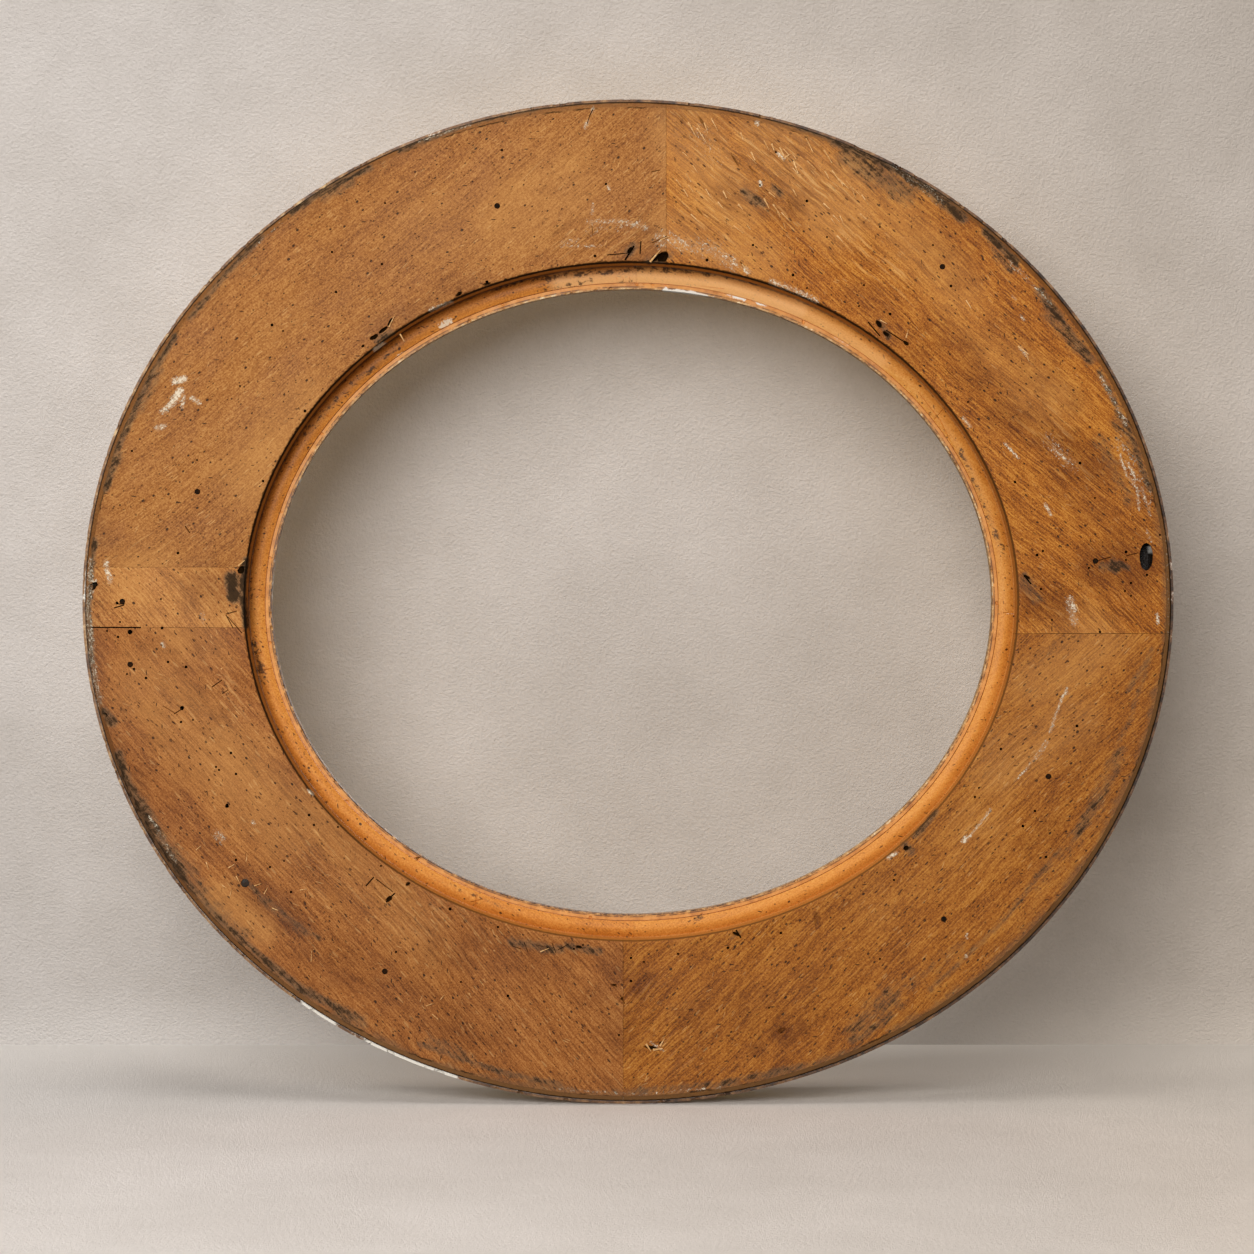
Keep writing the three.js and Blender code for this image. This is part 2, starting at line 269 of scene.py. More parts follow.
def moved_in(points, distance):
    """The same outline moved into the wood."""
    normals = []
    for (x0, y0), (x1, y1) in zip(points, points[1:]):
        length = math.hypot(x1 - x0, y1 - y0)
        normals.append(((y1 - y0) / length, (x0 - x1) / length))
    moved = []
    for number, (x, y) in enumerate(points):
        before = normals[max(number - 1, 0)]
        after = normals[min(number, len(normals) - 1)]
        mitre = distance / (1 + before[0] * after[0] + before[1] * after[1])
        moved.append((x + (before[0] + after[0]) * mitre, y + (before[1] + after[1]) * mitre))
    return moved


# Back layer: one ring with a fine back face, then cut into its boards
RIM_ROUND = 0.5 * MM
RIM_HALFWAY = 0.15 * MM
ARRIS_SHARES = (0, 0.25, 0.5, 0.75, 0.92)
WALL_ROWS = (2 * MM, 6 * MM)
face_start = WOOD_INSET + ARRIS_WIDTH
face_end = REBATE_INSET - RIM_ROUND
face_rows = [(face_start + (face_end - face_start) * row / BACK_ROWS, 0) for row in range(BACK_ROWS + 1)]
arris_rows = [(WOOD_INSET + ARRIS_WIDTH * share, ARRIS_DEPTH * (1 - share)) for share in ARRIS_SHARES]
back_profile = [
    *arris_rows,
    *face_rows,
    (REBATE_INSET - RIM_HALFWAY, RIM_HALFWAY),
    *[(REBATE_INSET, height) for height in (RIM_ROUND, *WALL_ROWS, BACK_THICKNESS)],
    (WOOD_INSET, BACK_THICKNESS),
]
back_ring = draw_ring("back_ring", back_profile, BACK_STEPS)
BOARDS = {
    "back_board_upper_left": ("worn_board_upper_left", {"right": TOP_SEAM, "bottom": SPLICE_TOP}),
    "back_board_upper_right": ("worn_board_upper_right", {"left": TOP_SEAM, "bottom": RIGHT_SEAM}),
    "back_board_lower_right": ("worn_board_lower_right", {"left": BOTTOM_SEAM, "top": RIGHT_SEAM}),
    "back_board_lower_left": ("worn_board_lower_left", {"right": BOTTOM_SEAM, "top": SPLICE_BOTTOM}),
    "left_splice_block": ("worn_splice_block", {"right": 0, "bottom": SPLICE_BOTTOM, "top": SPLICE_TOP}),
}
boards = {node: sector_of(back_ring, name, **seams) for node, (name, seams) in BOARDS.items()}
drop(back_ring)

# Front layer: its lip shows inside the rebate, slightly crowned, and the rest is under the coat
LIP_CROWN = 0.7 * MM
LIP_ROWS = 14
lip_start = REBATE_INSET + LIP_TRIM_INSET
lip_end = BAND - COAT_WRAP - FIT_GAP
lip_rows = [
    (lip_start + (lip_end - lip_start) * share, LIP_FACE - LIP_CROWN * math.sin(math.pi * share))
    for share in np.arange(LIP_ROWS + 1) / LIP_ROWS
]
front_outline = moved_in(gilded_outline(GLUE_FACE, COAT_WRAP + FIT_GAP, HIDDEN_ARCS), WOOD_INSET)
front_profile = [front_outline[0], (lip_start, GLUE_FACE), *lip_rows, *reversed(front_outline[1:])]
front_ring = draw_ring("front_ring", front_profile, FRONT_STEPS)
FRONT_SEAMS = {
    "upper_left": {"right": TOP_FRONT_SEAM, "bottom": LEFT_FRONT_SEAM},
    "upper_right": {"left": TOP_FRONT_SEAM, "bottom": RIGHT_FRONT_SEAM},
    "lower_right": {"left": BOTTOM_FRONT_SEAM, "top": RIGHT_FRONT_SEAM},
    "lower_left": {"right": BOTTOM_FRONT_SEAM, "top": LEFT_FRONT_SEAM},
}
mouldings = {
    "front_moulding_" + side: sector_of(front_ring, "lip_moulding_" + side, **seams)
    for side, seams in FRONT_SEAMS.items()
}
drop(front_ring)

# Gesso coat with its gilding
coat_foot = ARRIS_DEPTH + COAT_EDGE_STOP
coat_inside = moved_in(gilded_outline(coat_foot, COAT_WRAP, HIDDEN_ARCS), COAT_THICKNESS)
coat_face = gilded_outline(coat_foot, COAT_WRAP, FINE_ARCS)
coat = draw_ring("gilded_coat", [*coat_inside, *reversed(coat_face)], COAT_STEPS)

# Wear cut into the wood, by pixel of the photograph. Worm holes: x, y
WORM_HOLES = [
    (332, 252), (382, 264), (336, 292), (283, 331), (272, 325), (240, 386), (385, 203), (502, 150),
    (606, 184), (487, 282), (459, 294), (595, 256), (707, 260), (793, 275), (807, 288), (880, 227),
    (933, 245), (951, 286), (864, 285), (827, 237), (807, 201), (968, 402), (859, 306), (890, 314),
    (197, 460), (132, 451), (263, 481), (305, 411), (178, 553), (117, 603), (161, 599), (120, 622),
    (107, 631), (118, 637), (162, 628), (134, 669), (168, 662), (186, 667), (127, 674), (146, 678),
    (181, 722), (193, 720), (231, 753), (216, 767), (219, 770), (236, 774), (209, 780), (227, 805),
    (270, 867), (284, 861), (236, 860), (396, 952), (461, 982), (498, 927), (381, 866), (350, 829),
    (338, 827), (309, 815), (314, 825), (291, 892), (450, 909), (508, 996), (619, 1035), (678, 954),
    (644, 962), (631, 958), (631, 981), (769, 1008), (880, 959), (781, 933), (728, 948), (583, 945),
    (574, 949), (1077, 726), (1001, 749), (979, 788), (975, 797), (1023, 826), (1035, 811), (1046, 857),
    (894, 880), (1089, 568), (1126, 552), (1126, 560), (1131, 583), (1125, 591), (1131, 596), (1100, 632),
    (1147, 575), (1160, 535), (1015, 482), (1080, 463), (1095, 498), (1043, 551), (1037, 555), (1052, 620),
    (776, 152), (760, 185), (753, 245), (1041, 589),
]
# Larger holes: x, y, radius in pixels
LARGE_HOLES = [(130, 632, 2.7), (182, 708, 2.4), (227, 806, 2.2)]
# Cracks and scratches: start, end, width in pixels, depth in millimetres
CRACKS = [
    ((91, 627.4), (141, 627.6), 1.5, 4), ((124, 605), (114, 608), 1.4, 1), ((116, 604), (125, 604), 1.2, 1),
    ((212, 687), (222, 680), 1.3, 0.6), ((222, 694), (228, 690), 1.2, 0.5),
    ((594, 107), (590, 115), 1.2, 0.7), ((590, 115), (587, 124), 1.1, 0.6),
    ((625, 260), (634, 246), 2.2, 1.6), ((641, 241), (640, 254), 1.5, 1),
    ((607, 255), (630, 253), 1.3, 0.7), ((652, 243), (667, 236), 1.2, 0.5),
    ((366, 886), (374, 877), 1.6, 0.8), ((376, 879), (393, 892), 1.2, 0.6),
    ((395, 893), (386, 902), 1.7, 0.9), ((381, 900), (373, 893), 0.9, 0.3),
    ((512, 946), (521, 949), 1.2, 0.5), ((524, 942), (528, 952), 1.1, 0.5),
    ((536, 945), (549, 948), 1.2, 0.5), ((552, 943), (556, 953), 1.1, 0.5),
    ((558, 950), (569, 944), 1.2, 0.5), ((736, 930), (741, 938), 2, 0.8),
    ((611, 984), (617, 987), 1.5, 0.5), ((620, 995), (625, 1004), 1.4, 0.5),
    ((185, 526), (190, 533), 1.4, 0.6), ((233, 628), (226, 615), 1.1, 0.6),
    ((242, 633), (228, 617), 1.1, 0.6), ((226, 614), (237, 611), 1.2, 0.6),
    ((1111, 557), (1097, 561), 1.2, 0.6), ((1126, 556), (1138, 553), 1, 0.5),
    ((868, 322), (880, 336), 1.6, 0.9), ((886, 330), (906, 343), 1.4, 0.8),
    ((1024, 575), (1031, 584), 2, 0.9), ((163, 706), (178, 715), 1.1, 0.4),
    ((174, 714), (182, 709), 1.3, 0.6), ((592, 226), (593, 236), 1, 0.4),
    ((651, 172), (660, 170), 1.2, 0.5), ((245, 800), (250, 812), 0.9, 0.3),
]
# Gouges and chips: x, y, half length, half width in pixels, turn in degrees, depth in millimetres
GOUGES = [
    (390, 322, 5, 1.4, 62, 1.4), (383, 330, 6, 2, 38, 1.6), (374, 337, 5, 2.4, 30, 1.3),
    (363, 346, 2, 1.4, 30, 1), (663, 257, 7, 5, 50, 2.2), (655, 258, 6, 3, 40, 1.8),
    (647, 263, 6, 2.6, 10, 1.4), (630, 250, 4, 2, 60, 1.3), (879, 324, 5, 2.4, -55, 1.2),
    (886, 334, 4, 2.2, -45, 1.2), (906, 343, 3.5, 2, -40, 1), (234, 586, 5, 11, 5, 0.3),
    (817, 920, 3, 8, 6, 0.3), (241, 570, 5, 3.4, 60, 1.4), (246, 612, 2.4, 9, -6, 1),
    (93, 586, 5.5, 3.6, 35, 2.6), (389, 899, 4, 2.6, 40, 1), (408, 884, 3, 2, 30, 0.8),
    (579, 947, 4, 1.8, -10, 0.9), (906, 848, 3, 2.6, 0, 1.2), (736, 934, 4, 2, -25, 0.9),
    (652, 1048, 9, 2.2, -12, 0.8), (661, 1043, 3, 1.8, 30, 0.7), (614, 985, 3, 1.6, 0, 0.6),
    (622, 999, 3, 1.6, 60, 0.6), (1027, 577, 4, 1.6, -30, 1), (459, 294, 4, 2.2, 30, 0.9),
    (487, 284, 5, 1.8, 15, 0.8), (743, 265, 5, 1.2, -50, 0.6), (104, 716, 4, 3, 40, 1.4),
    (782, 1031, 5, 3.4, 20, 0.5), (702, 122, 8, 1.3, -60, 0.5), (806, 137, 6, 1.4, -62, 0.5),
    (700, 212, 7, 1.2, -52, 0.5), (735, 160, 9, 1.1, -58, 0.5), (752, 170, 8, 1, -56, 0.4),
    (718, 141, 8, 1, -60, 0.4), (822, 150, 7, 1.1, -64, 0.4), (840, 165, 7, 1, -60, 0.4),
    (678, 176, 7, 1, -42, 0.35), (790, 205, 7, 1, -70, 0.4),
]
# Hairlines and flakes on the lip: start, end, width in pixels, depth in millimetres
LIP_CRACKS = [
    ((918, 392), (940, 420), 1, 0.4), ((940, 420), (962, 465), 1, 0.4), ((933, 421), (944, 408), 1.1, 0.5),
    ((326, 415), (336, 420), 1.1, 0.5), ((263, 670), (274, 668), 1.1, 0.5),
    ((476, 895), (476, 908), 1.1, 0.5), ((470, 902), (483, 899), 1.1, 0.5),
    ((253, 637), (259, 645), 1.2, 0.5), ((255, 655), (262, 652), 1.4, 0.5),
    ((622, 276), (626, 287), 0.9, 0.3), ((616, 277), (620, 286), 0.9, 0.3),
    ((629, 275), (632, 287), 0.9, 0.3), ((700, 286), (724, 289), 0.9, 0.3),
    ((1003, 613), (1009, 612), 1.2, 0.4), ((688, 913), (695, 919), 1.2, 0.4),
]

NAIL_PLACES = {  # degrees from +X towards +Z, and inset in millimetres
    "nail_upper_left_low": (164.2, 41),
    "nail_upper_left_high": (106.8, 37),
    "nail_upper_right_high": (49.7, 26.5),
    "nail_upper_right_low": (5.5, 33.3),
    "nail_lower_right_high": (335.1, 36),
    "nail_lower_right_low": (311.8, 31.8),
    "nail_lower_left_low": (239.1, 29.7),
    "nail_lower_left_middle": (218.9, 22.6),
    "nail_lower_left_high": (187.9, 18.4),
    "nail_splice_block": (180, 17.1),
}
TONGUES = ("tongue_top", "tongue_bottom", "tongue_right", "tongue_left_upper", "tongue_left_lower")
HOOK_HOLE = (5.4, 11.5)  # degrees and inset, as above
HOOK_HOLE_HALF_WIDTH = 2.8 * MM
HOOK_HOLE_HALF_LENGTH = 5.7 * MM
HOOK_HOLE_DEPTH = 11 * MM
NAIL_SINK = 0.3 * MM
NAIL_HEAD_RADIUS = 1.2 * MM
BROAD_HEAD_RADIUS = 1.75 * MM
BROAD_HEADED = "nail_lower_left_middle"
NAIL_HEAD_THICKNESS = 1.1 * MM
NAIL_SHANK = 0.85 * MM
NAIL_POINT = 0.35 * MM
NAIL_BITE = 5.5 * MM
ALONG_Y = (-math.pi / 2, 0, 0)  # turns a primitive's axis from +Z to +Y
nail_spots = {node: oval_point(degrees, inset * MM) for node, (degrees, inset) in NAIL_PLACES.items()}
wear = random.Random(11)


def spot(pixel, height=0.0):
    """Where the camera's ray through a pixel meets a height above the back plane, as x and z."""
    reach = PIXEL * (1 + height / CAMERA_DISTANCE)
    return CAMERA_X + (pixel[0] - IMAGE_SIZE / 2) * reach, CAMERA_Z + (IMAGE_SIZE / 2 - pixel[1]) * reach


def roughen(offset):
    """Moves the points of the last shape about at random."""
    bpy.ops.transform.vertex_random(offset=offset, seed=wear.randrange(1, 9999))


def open_cutters(name):
    mesh = bpy.data.meshes.new(name)
    cutters = bpy.data.objects.new(name, mesh)
    bpy.context.scene.collection.objects.link(cutters)
    edit(cutters)
    return cutters


BORE_MOUTH = 1.05  # a hole narrows from its mouth to its end, as shares of its radius
BORE_END = 0.75
WORM_RADII = (1.1, 1.8)  # pixels
WORM_DEPTHS = (4, 8)  # millimetres
LIP_WEAR_LEVEL = LIP_FACE - 0.6 * LIP_CROWN


def bore(x, z, radius, depth, tilt=0.0, sides=9):
    """A drilled or gnawed hole into the back face."""
    turn = (ALONG_Y[0] + wear.uniform(-tilt, tilt), 0, wear.uniform(-tilt, tilt))
    bpy.ops.mesh.primitive_cone_add(
        vertices=sides, radius1=radius * BORE_MOUTH, radius2=radius * BORE_END, depth=2 * depth,
        location=(x, BACK_Y, z), rotation=turn,
    )


def groove(start, end, width, depth, face=0.0):
    """A straight slit between two pixels, its mouth on the back face or at a height above it."""
    (x0, z0), (x1, z1) = spot(start, face), spot(end, face)
    length = math.hypot(x1 - x0, z1 - z0)
    bpy.ops.mesh.primitive_cylinder_add(
        vertices=6, radius=0.5, depth=1, rotation=(0, math.pi / 2 - math.atan2(z1 - z0, x1 - x0), 0),
        location=((x0 + x1) / 2, BACK_Y + face, (z0 + z1) / 2), scale=(width, 2 * depth, length),
    )
    roughen(width * 0.12)


def gouge(x, z, half_length, half_width, degrees, depth, face=0.0):
    """A torn hollow with a rough bottom."""
    bpy.ops.mesh.primitive_ico_sphere_add(
        subdivisions=2, radius=1, location=(x, BACK_Y + face, z), rotation=(0, -math.radians(degrees), 0),
        scale=(half_length, depth, half_width),
    )
    roughen(min(half_width, depth) * 0.3)


def cut_with(piece, cutters):
    pick(piece)
    cut = piece.modifiers.new("wear", "BOOLEAN")
    cut.operation = "DIFFERENCE"
    cut.solver = "MANIFOLD"
    cut.object = cutters
    bpy.ops.object.modifier_apply(modifier=cut.name)


def bore_worm_holes():
    for pixel in WORM_HOLES:
        radius = PIXEL * wear.uniform(*WORM_RADII)
        bore(*spot(pixel), radius, wear.uniform(*WORM_DEPTHS) * MM, tilt=0.25)


def bore_large_holes():
    for x, y, radius in LARGE_HOLES:
        bore(*spot((x, y)), PIXEL * radius, wear.uniform(*WORM_DEPTHS) * MM, tilt=0.2, sides=12)
        roughen(0.2 * MM)


def crack(cracks, face=0.0):
    for start, end, width, depth in cracks:
        groove(start, end, width * PIXEL, depth * MM, face)


def tear(gouges):
    for x, y, half_length, half_width, degrees, depth in gouges:
        gouge(*spot((x, y)), half_length * PIXEL, half_width * PIXEL, degrees, depth * MM)


def head_radius(node):
    return BROAD_HEAD_RADIUS if node == BROAD_HEADED else NAIL_HEAD_RADIUS


def sink_nail_heads():
    depth = NAIL_SINK + NAIL_HEAD_THICKNESS + FIT_GAP
    for node, (x, z) in nail_spots.items():
        bpy.ops.mesh.primitive_cylinder_add(
            vertices=20, radius=head_radius(node), depth=2 * depth,
            location=(x, BACK_Y, z), rotation=ALONG_Y,
        )
        roughen(0.12 * MM)


def bore_nail_shanks():
    """Tapered holes through the back layer into the front one."""
    length = GLUE_FACE + NAIL_BITE + FIT_GAP
    for x, z in nail_spots.values():
        bpy.ops.mesh.primitive_cone_add(
            vertices=8, radius1=NAIL_SHANK + FIT_GAP, radius2=NAIL_POINT + FIT_GAP, depth=length,
            location=(x, BACK_Y + length / 2, z), rotation=ALONG_Y,
        )


def cut_hook_hole_and_slots():
    """The blind hole for a wall hook, and the slots of the tongues."""
    x, z = oval_point(HOOK_HOLE[0], HOOK_HOLE[1] * MM)
    bpy.ops.mesh.primitive_cylinder_add(
        vertices=40, radius=1, depth=2 * HOOK_HOLE_DEPTH, location=(x, BACK_Y, z), rotation=ALONG_Y,
        scale=(HOOK_HOLE_HALF_WIDTH, HOOK_HOLE_HALF_LENGTH, 1),
    )
    bpy.ops.transform.vertex_random(offset=0.12 * MM, seed=5)
    for name in TONGUES:
        low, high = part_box(name)
        middle = [(a + b) / 2 for a, b in zip(low, high)]
        room = [b - a + 2 * FIT_GAP for a, b in zip(low, high)]
        bpy.ops.mesh.primitive_cube_add(size=1, location=middle, scale=room)


def wear_down(pieces, name, shapes, *values):
    """Cuts one kind of wear out of every piece. The shapes of one kind don't overlap each other."""
    cutters = open_cutters(name)
    shapes(*values)
    leave()
    for piece in pieces.values():
        cut_with(piece, cutters)
    drop(cutters)


wear_down(boards, "worm_holes", bore_worm_holes)
wear_down(boards, "large_holes", bore_large_holes)
wear_down(boards, "cracks", crack, CRACKS[0::2])
wear_down(boards, "crossing_cracks", crack, CRACKS[1::2])
wear_down(boards, "gouges", tear, GOUGES[0::2])
wear_down(boards, "deeper_gouges", tear, GOUGES[1::2])
wear_down(boards, "nail_heads", sink_nail_heads)
wear_down(boards, "nail_shanks", bore_nail_shanks)
wear_down(boards, "hook_hole_and_slots", cut_hook_hole_and_slots)
wear_down(mouldings, "hairlines", crack, LIP_CRACKS[0::2], LIP_WEAR_LEVEL)
wear_down(mouldings, "crossing_hairlines", crack, LIP_CRACKS[1::2], LIP_WEAR_LEVEL)
wear_down(mouldings, "front_nail_shanks", bore_nail_shanks)

# Chips knocked out of the coat: at its foot, at the sight edge and on the roll
CHIPS_AT_FOOT = 90
FOOT_CHIPS_FROM = 40  # degrees
FOOT_CHIPS_TO = 285
CHIPS_AT_SIGHT = 46
SIGHT_CHIPS_IN = (0.1, 2.2)  # millimetres from the opening
CHIPS_ON_ROLL = 9
CHIPPED_ROLL = ROLL_CENTRE + ROLL_RADIUS * 0.86
coat_cutters = open_cutters("coat_chips")
for _ in range(CHIPS_AT_FOOT):
    x, z = oval_point(wear.uniform(FOOT_CHIPS_FROM, FOOT_CHIPS_TO), -0.1 * MM)
    size = wear.uniform(0.5, 1.5) * MM
    gouge(x, z, size * wear.uniform(1, 2.4), size, wear.uniform(0, 180), size, face=coat_foot)
for _ in range(CHIPS_AT_SIGHT):
    x, z = oval_point(wear.uniform(0, 360), BAND - wear.choice(SIGHT_CHIPS_IN) * MM)
    size = wear.uniform(0.35, 0.9) * MM
    gouge(x, z, size * wear.uniform(1, 2), size, wear.uniform(0, 180), size, face=LIP_FACE)
for _ in range(CHIPS_ON_ROLL):
    degrees = wear.uniform(0, 360)
    x, z = oval_point(degrees, wear.uniform(4, 9) * MM)
    size = wear.uniform(1.4, 3) * MM
    gouge(x, z, size * 1.5, size, degrees, size * 0.8, face=CHIPPED_ROLL)
leave()
cut_with(coat, coat_cutters)
drop(coat_cutters)


# Nails: a forged head, hammered a little out of true, on a tapered shank
HEAD_RISES = ((0.25, 0.14 * MM), (0.3, 0.06 * MM))  # inset as a share of the radius, and rise
SHANK_STEPS = 4
SHANK_DRAW = 0.93  # each step is thinner than an even taper by this much
SQUARE_ON = 0.9  # how far a normal has to follow the Y axis
NAIL_TURN = 1.3  # in radians, from each nail to the next


def select_faces(piece, way):
    """In edit mode, selects only the faces that look along +Y or -Y."""
    bpy.ops.mesh.select_all(action="DESELECT")
    leave()
    for face in piece.data.polygons:
        face.select = face.normal.y * way > SQUARE_ON
    bpy.ops.object.mode_set(mode="EDIT")


def forge_nail(radius):
    deselect()
    bpy.ops.mesh.primitive_cylinder_add(
        vertices=16, radius=radius, depth=NAIL_HEAD_THICKNESS, rotation=ALONG_Y,
        location=(0, BACK_Y + NAIL_SINK + NAIL_HEAD_THICKNESS / 2, 0),
    )
    made = bpy.context.object
    name_piece(made, "forged_nail")
    bpy.ops.object.transform_apply(location=True, rotation=True, scale=True)
    edit(made)
    bpy.ops.mesh.select_mode(type="FACE")
    select_faces(made, -1)
    for share, rise in HEAD_RISES:
        bpy.ops.mesh.inset(thickness=radius * share, depth=rise)
    select_faces(made, 1)
    bpy.ops.mesh.inset(thickness=radius - NAIL_SHANK, depth=0)
    shank_start = NAIL_SINK + NAIL_HEAD_THICKNESS
    shank_length = GLUE_FACE + NAIL_BITE - shank_start
    onward = (0, shank_length / SHANK_STEPS, 0)
    taper = SHANK_DRAW * (1 - (1 - NAIL_POINT / NAIL_SHANK) / SHANK_STEPS)
    for step in range(1, SHANK_STEPS + 1):
        bpy.ops.mesh.extrude_region_move(TRANSFORM_OT_translate={"value": onward})
        middle = (0, BACK_Y + shank_start + shank_length * step / SHANK_STEPS, 0)
        bpy.ops.transform.resize(value=(taper, 1, taper), center_override=middle)
    bpy.ops.mesh.select_all(action="SELECT")
    bpy.ops.mesh.normals_make_consistent(inside=False)
    leave()
    return made


usual_nail = forge_nail(NAIL_HEAD_RADIUS)
broad_nail = forge_nail(BROAD_HEAD_RADIUS)
nails = {}
for number, (node, (x, z)) in enumerate(nail_spots.items()):
    made = copy_of(broad_nail if node == BROAD_HEADED else usual_nail, node.replace("nail", "forged_nail"))
    edit(made)
    bpy.ops.transform.vertex_random(offset=0.09 * MM, seed=number + 1)
    bpy.ops.transform.rotate(value=number * NAIL_TURN, orient_axis="Y", center_override=(0, 0, 0))
    bpy.ops.transform.translate(value=(x, 0, z))
    leave()
    nails[node] = made
drop(usual_nail)
drop(broad_nail)


# Splinters lifted out of the back face, paler than the old surface.
# Each: x, y, length and width in pixels, and degrees
SPLINTERS = [
    (1018, 346, 14, 2.4, -40), (1026, 354, 8, 2, -70), (650, 262, 16, 2.6, 48), (660, 240, 10, 1.6, 20),
    (646, 1044, 9, 2, -55), (653, 1050, 10, 2.4, 10), (660, 1046, 9, 2.4, 60), (780, 152, 9, 2.4, -50),
    (784, 158, 8, 2, 30), (389, 327, 12, 1.8, 62), (400, 334, 9, 1.6, -60), (688, 122, 18, 1.8, -62),
    (697, 128, 20, 1.6, -58), (711, 118, 16, 1.4, -64), (806, 138, 18, 1.6, -66), (824, 150, 16, 1.8, -60),
    (832, 170, 14, 1.4, -58), (742, 264, 10, 1.6, -52), (880, 320, 8, 1.6, -30), (906, 338, 9, 1.8, 75),
    (966, 300, 10, 1.4, -60), (540, 952, 10, 1.4, 24), (238, 566, 9, 1.8, 40), (1076, 604, 10, 1.6, -70),
    (228, 868, 8, 1.2, 30), (236, 876, 9, 1.2, -60), (246, 862, 7, 1.1, 80), (254, 886, 8, 1.2, 20),
    (220, 884, 8, 1.1, -30), (264, 894, 8, 1.2, 60), (272, 908, 7, 1.1, -20), (300, 890, 7, 1.1, 10),
    (426, 1006, 9, 1.3, 20), (432, 1014, 8, 1.2, -40), (420, 1002, 7, 1.1, 70), (311, 962, 12, 1, 85),
    (196, 850, 7, 1.1, 40), (206, 862, 8, 1.1, -70), (440, 1000, 7, 1, 50), (230, 896, 7, 1.1, 75),
]
TORN_SPLINTERS = 46
TORN_FROM = (676, 112)
TORN_TO = (862, 236)
TORN_TOP = (640, 116)  # none stands above a curve that drops to both sides of this pixel
TORN_DROP = 0.0016
SPLINTER_ROOT = 0.1 * MM
SPLINTER_LIFTS = (0.1, 0.35)  # rise over run
splinters = open_cutters("torn_splinters")


def lift_splinter(pixel, length, width, degrees):
    """A thin sliver whose root is in the wood and whose tip stands off it."""
    x, z = spot(pixel)
    turn = math.radians(degrees)
    lift = wear.uniform(*SPLINTER_LIFTS)
    way = Vector((math.cos(turn), -lift, math.sin(turn)))
    half = length / 2 * PIXEL
    bpy.ops.mesh.primitive_cone_add(
        vertices=5, radius1=width / 2 * PIXEL, radius2=width / 6 * PIXEL, depth=2 * half,
        location=(x + way.x * half, BACK_Y + SPLINTER_ROOT + way.y * half, z + way.z * half),
        rotation=way.to_track_quat("Z", "Y").to_euler(),
    )
    roughen(width * 0.08 * PIXEL)


for x, y, length, width, degrees in SPLINTERS:
    lift_splinter((x, y), length, width, degrees)
for _ in range(TORN_SPLINTERS):
    x = wear.uniform(TORN_FROM[0], TORN_TO[0])
    y = wear.uniform(TORN_FROM[1], TORN_TO[1])
    y = max(y, TORN_TOP[1] + TORN_DROP * (x - TORN_TOP[0]) ** 2)
    lift_splinter((x, y), wear.uniform(6, 14), wear.uniform(0.9, 1.9), wear.uniform(-72, -38))
leave()


